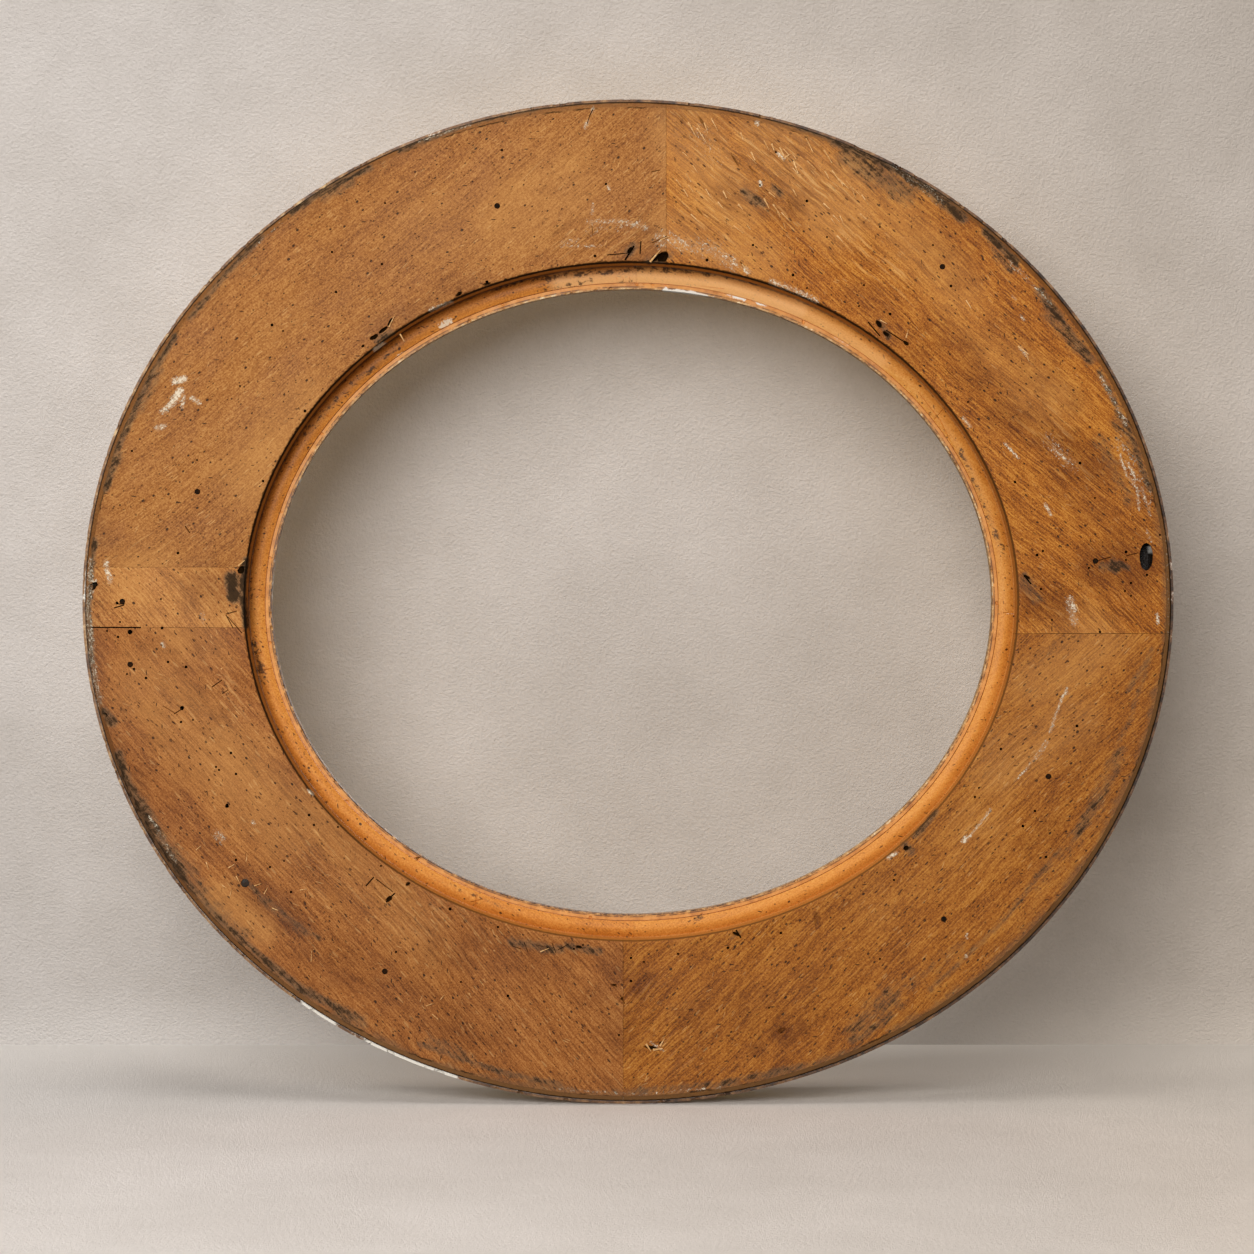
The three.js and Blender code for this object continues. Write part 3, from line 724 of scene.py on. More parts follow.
# Old marks, painted into vertex attributes.
# Each stroke: radius in pixels, strength, then x and y by turns of the pixels that it passes
SOOT = [
    (7, 1.0, 836, 141, 880, 160, 930, 190, 962, 218), (16, 0.75, 850, 158, 905, 190),
    (10, 0.8, 862, 168, 880, 178), (5, 1.0, 985, 232, 1016, 262), (10, 0.6, 996, 250, 1010, 268),
    (6, 0.9, 1040, 292, 1062, 322, 1090, 360), (11, 0.7, 1052, 315, 1078, 345),
    (4, 0.8, 1100, 372, 1128, 430, 1150, 490), (9, 0.55, 1118, 420, 1136, 455),
    (4, 0.9, 370, 168, 330, 186, 292, 212), (7, 0.7, 350, 183, 325, 196),
    (4, 0.8, 262, 236, 225, 275, 190, 318), (4, 0.9, 175, 336, 150, 378, 118, 448, 106, 490),
    (7, 0.6, 160, 370, 140, 408), (6, 0.8, 118, 455, 112, 470), (3.5, 0.8, 95, 540, 89, 610, 92, 660),
    (6, 0.95, 105, 712, 112, 722), (6, 0.9, 118, 755, 128, 785, 146, 818),
    (9, 0.95, 140, 806, 158, 838, 182, 872), (13, 0.6, 150, 830, 180, 862, 200, 890),
    (5, 0.8, 190, 885, 222, 922, 262, 958), (8, 0.6, 216, 908, 244, 936),
    (5, 0.9, 262, 958, 300, 988, 356, 1018), (9, 0.7, 340, 1012, 362, 1022),
    (4, 0.7, 420, 1044, 500, 1072, 560, 1085), (8, 0.5, 430, 1040, 470, 1058),
    (4, 0.6, 640, 1090, 720, 1084, 800, 1066), (6, 0.7, 852, 1040, 890, 1018),
    (15, 0.55, 858, 1030, 884, 1004), (4, 0.6, 930, 990, 1000, 925, 1060, 850),
    (4, 0.5, 1090, 800, 1130, 720, 1152, 650), (4, 0.8, 400, 150, 470, 122, 560, 103, 640, 98),
    (4, 0.8, 680, 99, 760, 112, 830, 138), (5, 0.9, 744, 192, 752, 198, 763, 204),
    (5, 0.7, 774, 188, 780, 194), (7, 1.35, 231, 578, 234, 597), (4, 1.2, 246, 560, 242, 592, 246, 625),
    (5, 0.75, 1102, 566, 1116, 570), (4, 0.7, 1112, 562, 1128, 568), (9, 0.62, 1026, 582, 1036, 598),
    (5, 0.8, 629, 252, 634, 246), (5, 0.7, 648, 262, 670, 256), (5, 0.8, 378, 340, 390, 332),
    (3.5, 0.6, 245, 880, 262, 898, 290, 918, 318, 938), (7, 0.5, 262, 900, 306, 932),
    (18, 0.62, 862, 1026, 890, 1000), (13, 0.4, 1036, 884, 1092, 818), (12, 0.42, 900, 990, 960, 950),
    (10, 0.5, 1100, 440, 1130, 500), (6, 0.75, 512, 942, 560, 950), (5, 0.7, 566, 946, 600, 952),
    (4, 0.7, 880, 322, 888, 336), (3, 0.8, 1025, 574, 1030, 584), (3, 0.6, 740, 932, 732, 938),
    (4, 0.85, 936, 812, 916, 836), (5, 0.8, 905, 845, 911, 852), (4, 0.7, 1128, 690, 1148, 660),
    (7, 0.75, 1076, 836, 1100, 796), (9, 0.6, 1096, 806, 1120, 752),
]
CHALK = [
    (4, 0.52, 91, 560, 88, 610, 92, 660, 100, 704), (2, 0.36, 560, 1089, 640, 1094, 720, 1088),
    (3, 0.45, 150, 818, 176, 862), (2, 0.3, 1166, 520, 1169, 640), (3, 0.45, 1100, 376, 1126, 424),
    (3, 0.45, 420, 140, 470, 124), (3, 0.25, 240, 262, 280, 224), (3, 0.42, 1010, 262, 1050, 304),
    (4, 1.0, 175, 381, 184, 379), (4.2, 1.0, 180, 391, 173, 402), (3.4, 0.9, 170, 405, 163, 411),
    (3, 0.8, 192, 398, 199, 402), (3.4, 0.75, 157, 428, 164, 426), (2.4, 0.7, 184, 396, 182, 408),
    (1.8, 0.8, 1067, 688, 1058, 708, 1050, 732), (1.6, 0.6, 1046, 740, 1030, 764, 1018, 778),
    (1.8, 0.7, 991, 809, 978, 826, 967, 840), (3, 0.9, 966, 838, 964, 841),
    (4, 0.5, 590, 222, 620, 221, 646, 227), (3.4, 0.42, 562, 243, 578, 240), (2, 0.7, 593, 204, 592, 214),
    (2.4, 0.75, 588, 121, 585, 127), (1.6, 0.7, 593, 107, 592, 113),
    (10, 0.45, 662, 239, 690, 246, 714, 250, 732, 262), (4, 0.5, 656, 236, 684, 242),
    (3, 0.8, 745, 268, 748, 272), (4, 0.6, 772, 282, 794, 290, 816, 300), (2.2, 0.9, 757, 122, 757, 124),
    (2.4, 0.9, 778, 153, 783, 158), (2, 0.8, 608, 186, 609, 189), (2.4, 0.8, 760, 182, 761, 185),
    (6, 0.5, 219, 834, 222, 838), (1.8, 0.8, 252, 822, 254, 824), (3, 0.5, 202, 614, 203, 622),
    (2.2, 0.8, 163, 643, 164, 646), (2, 0.7, 1021, 316, 1024, 320), (1.8, 0.8, 1020, 348, 1027, 356),
    (1.6, 0.7, 1012, 296, 1016, 300), (2.4, 0.8, 963, 418, 970, 426), (1.6, 0.8, 1005, 443, 1018, 458),
    (1.8, 0.9, 1045, 504, 1051, 515), (2, 0.8, 1072, 600, 1075, 612), (1.6, 0.8, 1157, 614, 1158, 624),
    (1.6, 0.75, 1120, 456, 1127, 476, 1137, 488, 1139, 510), (1.6, 0.7, 1128, 462, 1136, 480),
    (2, 0.6, 1142, 488, 1150, 515), (2, 0.5, 1146, 530, 1152, 542), (1.8, 0.7, 966, 934, 967, 938),
    (1.8, 0.7, 966, 955, 967, 958), (1.4, 0.6, 1065, 688, 1070, 696), (2, 0.5, 1048, 742, 1036, 760),
    (2.4, 0.6, 1053, 448, 1068, 462), (1.6, 0.7, 105, 566, 108, 580), (1.6, 0.8, 96, 580, 93, 592),
    (1.6, 0.7, 650, 1042, 662, 1050), (2, 0.4, 560, 246, 600, 246), (9, 0.34, 1048, 440, 1074, 466),
    (10, 0.3, 1120, 440, 1146, 500), (12, 0.26, 700, 130, 712, 160), (5, 0.6, 1070, 600, 1074, 622),
    (8, 0.3, 890, 160, 940, 200), (3, 1.6, 376, 350, 384, 345), (2.4, 0.7, 430, 310, 452, 302),
    (6, 0.3, 590, 230, 640, 224), (3, 0.7, 106, 562, 110, 582), (2, 1.0, 888, 858, 896, 853),
    (2, 0.9, 309, 791, 313, 794),
]
TORN = [
    (26, 0.9, 690, 125, 715, 150), (30, 1.0, 760, 150, 800, 165, 830, 185), (26, 0.8, 700, 205, 725, 225),
    (24, 0.8, 740, 175, 790, 200), (22, 0.7, 810, 130, 850, 165), (30, 0.6, 850, 230, 900, 280),
    (26, 0.5, 1040, 420, 1080, 470), (22, 0.6, 1030, 600, 1120, 620), (30, 0.45, 400, 900, 470, 940),
    (24, 0.5, 240, 690, 180, 730), (26, 0.4, 300, 830, 340, 880), (30, 0.4, 1010, 760, 980, 830),
    (26, 0.4, 640, 1000, 680, 1040), (18, 0.6, 560, 240, 640, 230),
]
STAIN = [
    (4, 1.0, 816, 914, 818, 926), (20, 0.9, 1104, 572, 1120, 566), (26, 0.7, 1040, 600, 1060, 610),
    (50, 0.5, 330, 960, 480, 1030), (40, 0.45, 700, 1020, 800, 1000), (34, 0.5, 1060, 470, 1130, 540),
    (30, 0.6, 940, 330, 1000, 400), (26, 0.5, 860, 300, 920, 350), (30, 0.9, 1100, 566, 1138, 566),
    (16, 0.9, 1108, 568, 1122, 570), (18, 0.8, 1026, 585, 1034, 600),
    (26, 0.7, 1000, 412, 1060, 440, 1100, 470), (22, 0.6, 1050, 385, 1075, 400),
    (26, 0.6, 735, 190, 790, 205), (30, 0.5, 600, 1000, 625, 1040), (24, 0.6, 612, 960, 640, 985),
    (14, 0.9, 780, 1031, 784, 1033), (10, 0.8, 756, 1050, 758, 1051), (9, 0.8, 800, 1025, 803, 1026),
    (28, 0.5, 380, 330, 470, 290), (34, 0.6, 235, 585, 200, 590), (30, 0.5, 140, 760, 200, 840),
    (40, 0.5, 880, 180, 960, 260), (30, 0.5, 1130, 440, 1150, 500), (46, 0.4, 300, 780, 360, 840),
    (36, 0.5, 440, 950, 560, 960), (24, 0.7, 246, 881, 300, 925), (34, 0.4, 1090, 740, 1040, 850),
    (40, 0.35, 820, 980, 900, 960), (30, 0.55, 650, 240, 640, 262), (34, 0.4, 150, 620, 190, 660),
    (30, 0.5, 1000, 330, 1060, 400),
]
PALE = [
    (44, 1.0, 690, 130, 730, 200), (50, 1.0, 770, 140, 840, 200), (40, 0.7, 680, 230, 760, 260),
    (44, 0.6, 880, 200, 960, 290), (40, 0.5, 960, 300, 1040, 400), (50, 0.6, 150, 580, 200, 640),
    (60, 0.6, 150, 690, 230, 760, 300, 830), (44, 0.5, 330, 860, 420, 920), (50, 0.55, 250, 480, 300, 400),
    (56, 0.5, 420, 230, 560, 190), (50, 0.65, 1040, 680, 1090, 640), (44, 0.6, 1000, 760, 1070, 720),
    (50, 0.35, 880, 900, 960, 830), (30, 0.3, 280, 330, 360, 290), (26, 0.6, 215, 900, 262, 930),
]
POLISH = [
    (9, 1.0, 1143, 544, 1143, 570),
]
LIP_SOOT = [
    (3.5, 0.8, 490, 288, 560, 276, 640, 269, 700, 272, 760, 282, 830, 306, 880, 334),
    (5, 0.5, 540, 288, 590, 282), (4, 0.9, 253, 640, 259, 660, 262, 680), (3, 0.7, 250, 580, 252, 610),
    (4, 0.6, 960, 450, 990, 520, 1006, 560), (4, 0.5, 300, 770, 340, 830, 380, 868),
    (4, 0.6, 690, 912, 700, 918), (3, 0.6, 618, 284, 632, 282), (3, 0.5, 440, 880, 520, 915),
    (4, 0.6, 300, 440, 340, 395, 400, 345),
]
EDGE_GESSO = [
    (11, 0.9, 307, 1003, 330, 1019), (8, 0.5, 344, 1028, 360, 1037), (11, 0.85, 372, 1042, 414, 1062),
    (10, 0.75, 420, 1063, 452, 1075), (4, 0.6, 88, 566, 85, 600), (4, 0.4, 470, 1077, 540, 1092),
    (4, 0.4, 86, 612, 94, 690), (4, 0.46, 1170, 500, 1173, 640), (3, 0.9, 664, 289, 744, 299),
    (3, 0.8, 756, 303, 766, 307), (3, 0.8, 832, 338, 846, 346), (3, 0.6, 276, 560, 273, 600),
    (3, 0.6, 286, 520, 302, 478), (3, 0.5, 992, 590, 993, 640), (4, 0.5, 430, 136, 440, 132),
]
LIP_PALE = [
    (9, 0.9, 560, 284, 640, 279, 720, 286, 800, 312), (8, 0.5, 800, 312, 880, 362),
]
LIP_CHALK = [
    (2.2, 0.9, 660, 287, 690, 290, 736, 298), (2, 0.8, 756, 303, 765, 306), (2, 0.8, 833, 340, 842, 344),
    (3.4, 1.7, 400, 358, 412, 353), (3, 1.5, 442, 326, 449, 321), (2.6, 1.3, 366, 392, 374, 382),
    (2, 0.7, 269, 580, 270, 590), (1.6, 0.7, 310, 795, 316, 800), (1.6, 0.7, 284, 690, 287, 694),
    (1.6, 0.6, 994, 600, 995, 622),
]


def insets_of(x, z):
    """How far each point lies inside the outer oval, measured across the band."""
    low = np.full(len(x), -0.1)
    high = np.full(len(x), 1.4)
    for _ in range(24):
        share = (low + high) / 2
        half_x = OUTER_X + (SIGHT_X - OUTER_X) * share
        half_z = OUTER_Z + (SIGHT_Z - OUTER_Z) * share
        inside = ((x - SIGHT_SHIFT * share) / half_x) ** 2 + (z / half_z) ** 2 < 1
        low = np.where(inside, share, low)
        high = np.where(inside, high, share)
    return (low + high) / 2 * BAND


STROKE_CORE = 1.3  # above 1, so that the middle of a stroke is solid
STROKE_SPREAD = 1.5


def stroke_cover(px, py, radius, corners):
    """1 along a stroke's middle, fading to 0 beyond its radius."""
    nearest = np.full(len(px), np.inf)
    for x0, y0, x1, y1 in zip(corners[0::2], corners[1::2], corners[2::2], corners[3::2]):
        dx, dy = x1 - x0, y1 - y0
        along = np.clip(((px - x0) * dx + (py - y0) * dy) / (dx * dx + dy * dy), 0, 1)
        nearest = np.minimum(nearest, np.hypot(px - x0 - along * dx, py - y0 - along * dy))
    return np.clip(STROKE_CORE - STROKE_CORE * nearest / (STROKE_SPREAD * radius), 0, 1)


def store(mesh, name, values):
    attribute = mesh.attributes.new(name=name, type="FLOAT", domain="POINT")
    attribute.data.foreach_set("value", values.astype(np.float32))


def paint(piece, layers):
    """Stores the inset and the strength of each kind of mark at every point of a piece."""
    mesh = piece.data
    places = np.empty(len(mesh.vertices) * 3, dtype=np.float32)
    mesh.vertices.foreach_get("co", places)
    x, z = places[0::3].astype(float), places[2::3].astype(float)
    store(mesh, "inset", insets_of(x, z) / MM)
    reach = PIXEL * (1 + (places[1::3].astype(float) - BACK_Y) / CAMERA_DISTANCE)
    px = IMAGE_SIZE / 2 + (x - CAMERA_X) / reach
    py = IMAGE_SIZE / 2 - (z - CAMERA_Z) / reach
    for layer, strokes in layers.items():
        cover = np.zeros(len(x))
        for radius, strength, *corners in strokes:
            cover = np.maximum(cover, strength * stroke_cover(px, py, radius, corners))
        store(mesh, layer, cover)


BOARD_MARKS = {"soot": SOOT, "chalk": CHALK, "torn": TORN, "stain": STAIN, "pale": PALE, "polish": POLISH}
LIP_MARKS = {"soot": LIP_SOOT, "chalk": LIP_CHALK, "pale": LIP_PALE}
for board in boards.values():
    paint(board, BOARD_MARKS)
for moulding in mouldings.values():
    paint(moulding, LIP_MARKS)
paint(coat, {"gesso": EDGE_GESSO})


# Materials
class Wire:
    """A shader node's output. What is reckoned from it adds further nodes to the same tree."""

    def __init__(self, socket):
        self.socket = socket
        self.tree = socket.id_data

    def maths(self, operation, first, second=0.0, clamp=False):
        return put(self.tree, "ShaderNodeMath", {0: first, 1: second}, operation=operation, use_clamp=clamp)

    def __add__(self, other):
        return self.maths("ADD", self, other)

    def __sub__(self, other):
        return self.maths("SUBTRACT", self, other)

    def __rsub__(self, other):
        return self.maths("SUBTRACT", other, self)

    def __mul__(self, other):
        return self.maths("MULTIPLY", self, other)

    def __or__(self, other):
        """The stronger of two."""
        return self.maths("MAXIMUM", self, other)

    def __abs__(self):
        return self.maths("ABSOLUTE", self)

    def fade(self, start, end, low=0.0, high=1.0):
        """Goes smoothly from low to high while the value goes from start to end."""
        inputs = {"Value": self, "From Min": start, "From Max": end, "To Min": low, "To Max": high}
        return put(self.tree, "ShaderNodeMapRange", inputs, interpolation_type="SMOOTHSTEP")

    def swing(self, size):
        """A 0 to 1 pattern turned into a swing of a size about 0."""
        return (self - 0.5) * size

    def dot(self, direction):
        inputs = {0: self, 1: direction}
        return put(self.tree, "ShaderNodeVectorMath", inputs, "Value", operation="DOT_PRODUCT")


def feed(socket, value):
    """Links an input to a wire, or sets it to a value or to a solid colour."""
    if isinstance(value, Wire):
        socket.id_data.links.new(value.socket, socket)
    elif socket.type == "RGBA":
        socket.default_value = (*value, 1)
    else:
        socket.default_value = value


def add_node(tree, kind, inputs=None, **settings):
    """Adds a node, sets its options and feeds its inputs."""
    made = tree.nodes.new(kind)
    for name, value in settings.items():
        setattr(made, name, value)
    for key, value in (inputs or {}).items():
        feed(made.inputs[key], value)
    return made


def put(tree, kind, inputs=None, output=0, **settings):
    """Adds a node and returns one of its outputs."""
    return Wire(add_node(tree, kind, inputs, **settings).outputs[output])


def wires_of(node):
    return {socket.name: Wire(socket) for socket in node.outputs}


def tint(under, share, over, kind="MIX"):
    """Lays one colour over another by a share."""
    tree = next(value.tree for value in (under, share, over) if isinstance(value, Wire))
    inputs = {0: share, 6: under, 7: over}
    return put(tree, "ShaderNodeMix", inputs, 2, data_type="RGBA", blend_type=kind)


def lay(colour, *layers):
    """Lays layers over a colour by turns. Each: share, colour and, if not a plain mix, the blend."""
    for layer in layers:
        colour = tint(colour, *layer)
    return colour


def speckle(vector, scale, detail=2.0, roughness=0.5):
    inputs = {"Vector": vector, "Scale": scale, "Detail": detail, "Roughness": roughness}
    return put(vector.tree, "ShaderNodeTexNoise", inputs)


def ramp(value, *stops):
    made = add_node(value.tree, "ShaderNodeValToRGB", {"Fac": value})
    elements = made.color_ramp.elements
    while len(elements) < len(stops):
        elements.new(0.5)
    for element, (position, colour) in zip(elements, stops):
        element.position = position
        element.color = (*colour, 1)
    return Wire(made.outputs[0])


def millimetres(tree):
    """Object coordinates in millimetres."""
    place = put(tree, "ShaderNodeTexCoord", output="Object")
    return put(tree, "ShaderNodeVectorMath", {0: place, "Scale": 1 / MM}, operation="SCALE")


def parts_of(vector):
    return [Wire(socket) for socket in add_node(vector.tree, "ShaderNodeSeparateXYZ", {0: vector}).outputs]


def outward(place):
    """The direction from the middle of the frame."""
    return put(place.tree, "ShaderNodeVectorMath", {0: place}, operation="NORMALIZE")


def stored(tree, name):
    return put(tree, "ShaderNodeAttribute", output="Fac", attribute_name=name)


def open_group(name, **inputs):
    group = bpy.data.node_groups.new(name, "ShaderNodeTree")
    for key, value in inputs.items():
        socket = group.interface.new_socket(key, in_out="INPUT", socket_type="NodeSocketFloat")
        socket.default_value = value
    return group, wires_of(group.nodes.new("NodeGroupInput"))


def close_group(group, **results):
    for name in results:
        group.interface.new_socket(name, in_out="OUTPUT", socket_type="NodeSocketFloat")
    sockets = group.nodes.new("NodeGroupOutput").inputs
    for name, value in results.items():
        feed(sockets[name], value)
    return group


def put_group(tree, group, **inputs):
    return wires_of(add_node(tree, "ShaderNodeGroup", inputs, node_tree=group))


def new_material(name):
    material = bpy.data.materials.new(name)
    material.use_nodes = True
    tree = material.node_tree
    return material, tree, tree.nodes["Principled BSDF"]


def dress(shader, looks, relief=None, strength=0.0, depth=0.0):
    """Feeds a material's shader, and its bumps if it has a relief."""
    for name, value in looks.items():
        feed(shader.inputs[name], value)
    if relief is not None:
        inputs = {"Height": relief, "Strength": strength, "Distance": depth}
        feed(shader.inputs["Normal"], put(relief.tree, "ShaderNodeBump", inputs))


def make_wood_grain():
    """Fibres, growth bands, pores and pale flecks of a plank whose grain runs at an angle on the face."""
    group, given = open_group("wood_grain", Angle=0.0, Seed=0.0, Streak=1.0)
    inputs = {"Vector": millimetres(group), "Angle": given["Angle"]}
    turned = put(group, "ShaderNodeVectorRotate", inputs, rotation_type="Y_AXIS")
    moved = put(group, "ShaderNodeCombineXYZ", dict.fromkeys(range(3), given["Seed"]))
    place = put(group, "ShaderNodeVectorMath", {0: turned, 1: moved}, operation="ADD")
    along, deep, aside = parts_of(place)
    sway = speckle(place, 0.009, 1).swing(11)
    wobble = speckle(place, 0.06, 2).swing(2.4)
    across = aside + sway + wobble

    def stretched(long, wide):
        return put(group, "ShaderNodeCombineXYZ", {0: along * long, 1: deep * wide, 2: across * wide})

    def spots(where, dimensions, share, size):
        """Spots of about a size in a share of a pattern's cells."""
        inputs = {"Vector": where, "Scale": 1, "Randomness": 1}
        cells = wires_of(add_node(group, "ShaderNodeTexVoronoi", inputs, voronoi_dimensions=dimensions))
        chance = wires_of(add_node(group, "ShaderNodeSeparateColor", {0: cells["Color"]}))
        reach = chance["Green"] * (size * 0.7) + size * 0.5
        inside = (reach - cells["Distance"]).fade(0, size * 0.35)
        return chance["Red"].fade(share, share - 0.02) * inside

    def dashes(long, wide, share, size):
        """Short dashes along the grain."""
        return spots(stretched(long, wide), "3D", share, size)

    def upright(long, wide, share, size, slant=0.0):
        """Dashes along the grain or aslant that go straight into the face."""
        where = {0: along * long, 1: (along * slant + across) * wide}
        return spots(put(group, "ShaderNodeCombineXYZ", where), "2D", share, size)

    band = speckle(stretched(0.008, 0.09), 1, 3, 0.6)
    fibre = speckle(stretched(0.06, 0.8), 1, 2, 0.65)
    fine = speckle(stretched(0.11, 1.9), 1, 2, 0.65)
    patch = speckle(stretched(0.022, 0.04), 1, 5, 0.62)
    grit = speckle(place, 1.6, 2, 0.6)
    streaks = (fibre.swing(0.5) + fine.swing(1.55)) * given["Streak"]
    tone = band.swing(0.4) + streaks + patch.swing(0.55) + grit.swing(1.25)

    clusters = speckle(place, 0.035, 2, 0.6).fade(0.3, 0.55)
    pores = dashes(0.26, 0.75, 0.4, 0.24) * clusters | dashes(0.12, 0.32, 0.5, 0.11)
    pores = pores | dashes(0.2, 0.27, 0.55, 0.11) | dashes(0.018, 0.5, 0.3, 0.1) * 0.35
    specks = upright(0.34, 0.42, 0.22, 0.14) * 0.7
    specks = specks | upright(0.19, 0.27, 0.2, 0.13) | upright(0.24, 0.7, 0.05, 0.2, 0.8)
    crumbs = dashes(0.16, 0.2, 0.16, 0.07)
    strands = dashes(0.014, 0.45, 0.4, 0.1)
    flecks = dashes(0.12, 0.6, 0.2, 0.24) * 0.5 | crumbs | strands * 0.4
    patchy = speckle(place, 0.06, 2, 0.6).fade(0.42, 0.62, 0.1, 0.8)
    scratches = ((0.1, 1.0, 0.16, 0.0), (0.13, 0.9, 0.05, 0.35), (0.12, 0.9, 0.05, -0.5))
    for long, wide, share, slant in scratches:
        flecks = flecks | upright(long, wide, share, 0.17, slant) * patchy
    return close_group(
        group,
        Tone=tone.maths("ADD", tone, 0.5, clamp=True),
        Fibre=fibre,
        Pores=pores,
        Specks=specks,
        Flecks=flecks,
        Patch=patch,
        Height=fibre.swing(0.4) + fine.swing(0.6) + grit.swing(0.5) - (pores + specks) * 0.6,
    )


def make_old_marks():
    """The painted marks, broken up by the fibres: soot, chalk and paint, torn fibres and stains."""
    group, given = open_group("old_marks", Spread=1.0, Fibre=0.5)
    place = millimetres(group)
    rough = speckle(place, 0.32, 5, 0.8)
    crumbs = speckle(place, 0.9, 4, 0.85)
    cloud = speckle(place, 0.11, 3, 0.6)
    fibre = given["Fibre"].swing(-1.6)
    soot, chalk, torn, stain = [stored(group, name) for name in ("soot", "chalk", "torn", "stain")]

    def broken(mark, pattern, thin, full):
        """A painted mark that thins out into specks towards its edge."""
        return (mark + (pattern * given["Spread"] + fibre)).fade(thin, full) * mark.fade(0.02, 0.35)

    return close_group(
        group,
        Soot=broken(soot, rough.swing(2.6), 0.6, 1.15),
        Film=(soot + rough.swing(1.1) + fibre * 0.4).fade(0.15, 0.95),
        Chalk=broken(chalk, crumbs.swing(4.0), 0.55, 1.0),
        Dust=(chalk + crumbs.swing(1.0)).fade(0.2, 1.0),
        Torn=torn,
        Stain=(stain + cloud.swing(0.8)).fade(0.2, 0.95),
    )


LIT_SIDE = (0.5, 0, -0.866)  # the side of the rebate that faces the light
# Insets in millimetres where the wood, the flat back, the rebate and the opening start
GAP_MM = WOOD_INSET / MM
EDGE_MM = (WOOD_INSET + ARRIS_WIDTH) / MM
RIM_MM = REBATE_INSET / MM
SIGHT_MM = BAND / MM


def make_rim_wear_and_shade():
    """Where wood is handled or cut: bevel, arris and grime, rebate rim, wall and crust, hollows, and painted
    shade.
    """
    group, _ = open_group("rim_wear_and_shade")
    place = millimetres(group)
    deep = parts_of(place)[1] - BACK_Y / MM
    inset = stored(group, "inset")
    wide = speckle(place, 0.07, 3, 0.6)
    rough = speckle(place, 0.45, 3, 0.65)
    ragged = inset + rough.swing(1.6)
    line = abs(ragged - (EDGE_MM + 0.1)).fade(0.5, 0.15) * wide.fade(0.5, 0.62)
    gap = (inset + rough.swing(1.0)).fade(GAP_MM + 0.75, GAP_MM + 0.3)
    facing = outward(place).dot(LIT_SIDE)
    lit = facing.fade(-0.1, 0.6)
    # the side of the rebate turned away from the light, where painted shade goes
    shaded_side = (facing + rough.swing(0.8)).fade(0.75, -0.6)
    under_rim = (deep + rough.swing(6)).fade(7.5, 4.5)
    # painted shade along the outer edge, laid on the lower right where the edge turns from the light
    edge_shade = inset + (wide.swing(9) + rough.swing(2.5))
    upper = inset + rough.swing(2.2) - (deep - 1.2 | 0)
    sunk = deep.fade(0.2, 0.65)
    on_face = inset.fade(EDGE_MM + 0.2, EDGE_MM + 0.8) * inset.fade(RIM_MM - 0.3, RIM_MM - 0.6)
    return close_group(
        group,
        Bevel=ragged.fade(EDGE_MM + 0.2, EDGE_MM - 0.4),
        Arris=line | gap,
        Grime=(inset + wide.swing(26)).fade(EDGE_MM + 8, EDGE_MM - 3),
        Smoke=edge_shade.fade(EDGE_MM + 2.8, EDGE_MM - 0.2) * lit,
        # rim line: crust, with painted shade strongest on the side away from the light
        Rim=upper.fade(RIM_MM - 0.5, RIM_MM - 0.1) * shaded_side,
        Wall=sunk * inset.fade(RIM_MM - 0.5, RIM_MM - 0.3),
        Hollow=sunk * on_face,
        Crust=shaded_side,
        # top of the rebate wall: crust, with painted shade strongest on the side away from the light
        Line=under_rim * shaded_side.fade(0, 1, 0.6, 1),
        Lit=lit,
    )


wood_grain = make_wood_grain()
old_marks = make_old_marks()
rim_wear_and_shade = make_rim_wear_and_shade()

PORE_BROWN = (0.05, 0.016, 0.005)
SPECK_BLACK = (0.022, 0.008, 0.003)
FLECK_TAN = (0.72, 0.41, 0.15)
PALE_TAN = (0.56, 0.265, 0.078)
STAIN_SHADE = (0.42, 0.33, 0.28)
BEVEL_BROWN = (0.17, 0.066, 0.018)
# painted light for the bevel on the lower right, where it turns from the light
BEVEL_PAINTED_LIGHT_TAN = (0.62, 0.27, 0.07)
GRIME_BROWN = (0.11, 0.04, 0.011)
SOOT_BLACK = (0.024, 0.016, 0.01)
# brown of the soot film, and of the painted shade along the outer edge
FILM_AND_SHADE_BROWN = (0.11, 0.075, 0.042)
CHALK_CREAM = (0.8, 0.68, 0.5)
DUST_PINK = (0.6, 0.42, 0.27)
# painted shade and dust inside holes, cracks and gouges
RECESS_SHADE_BLACK = (0.006, 0.003, 0.001)
HOLE_BROWN = (0.012, 0.006, 0.003)
HOOK_HOLE_HIGHLIGHT_FACING = (-0.93, 0, -0.36)  # the wall of the hook hole that faces this way gets a painted highlight
PAINTED_HIGHLIGHT_GREY = (0.95, 0.9, 0.82)
WALL_ORANGE = (0.5, 0.19, 0.038)
# crust and painted shade at the top of the rebate wall
WALL_CRUST_AND_SHADE = (0.05, 0.026, 0.012)
# crust and painted shade at the rebate's rim and corner, and soot on the lip
CORNER_SHADE_AND_SOOT_BROWN = (0.035, 0.015, 0.006)
LIP_TAN = (0.86, 0.47, 0.19)
LIP_SHADE = (0.6, 0.47, 0.38)
WOOD_SHEEN = 0.16


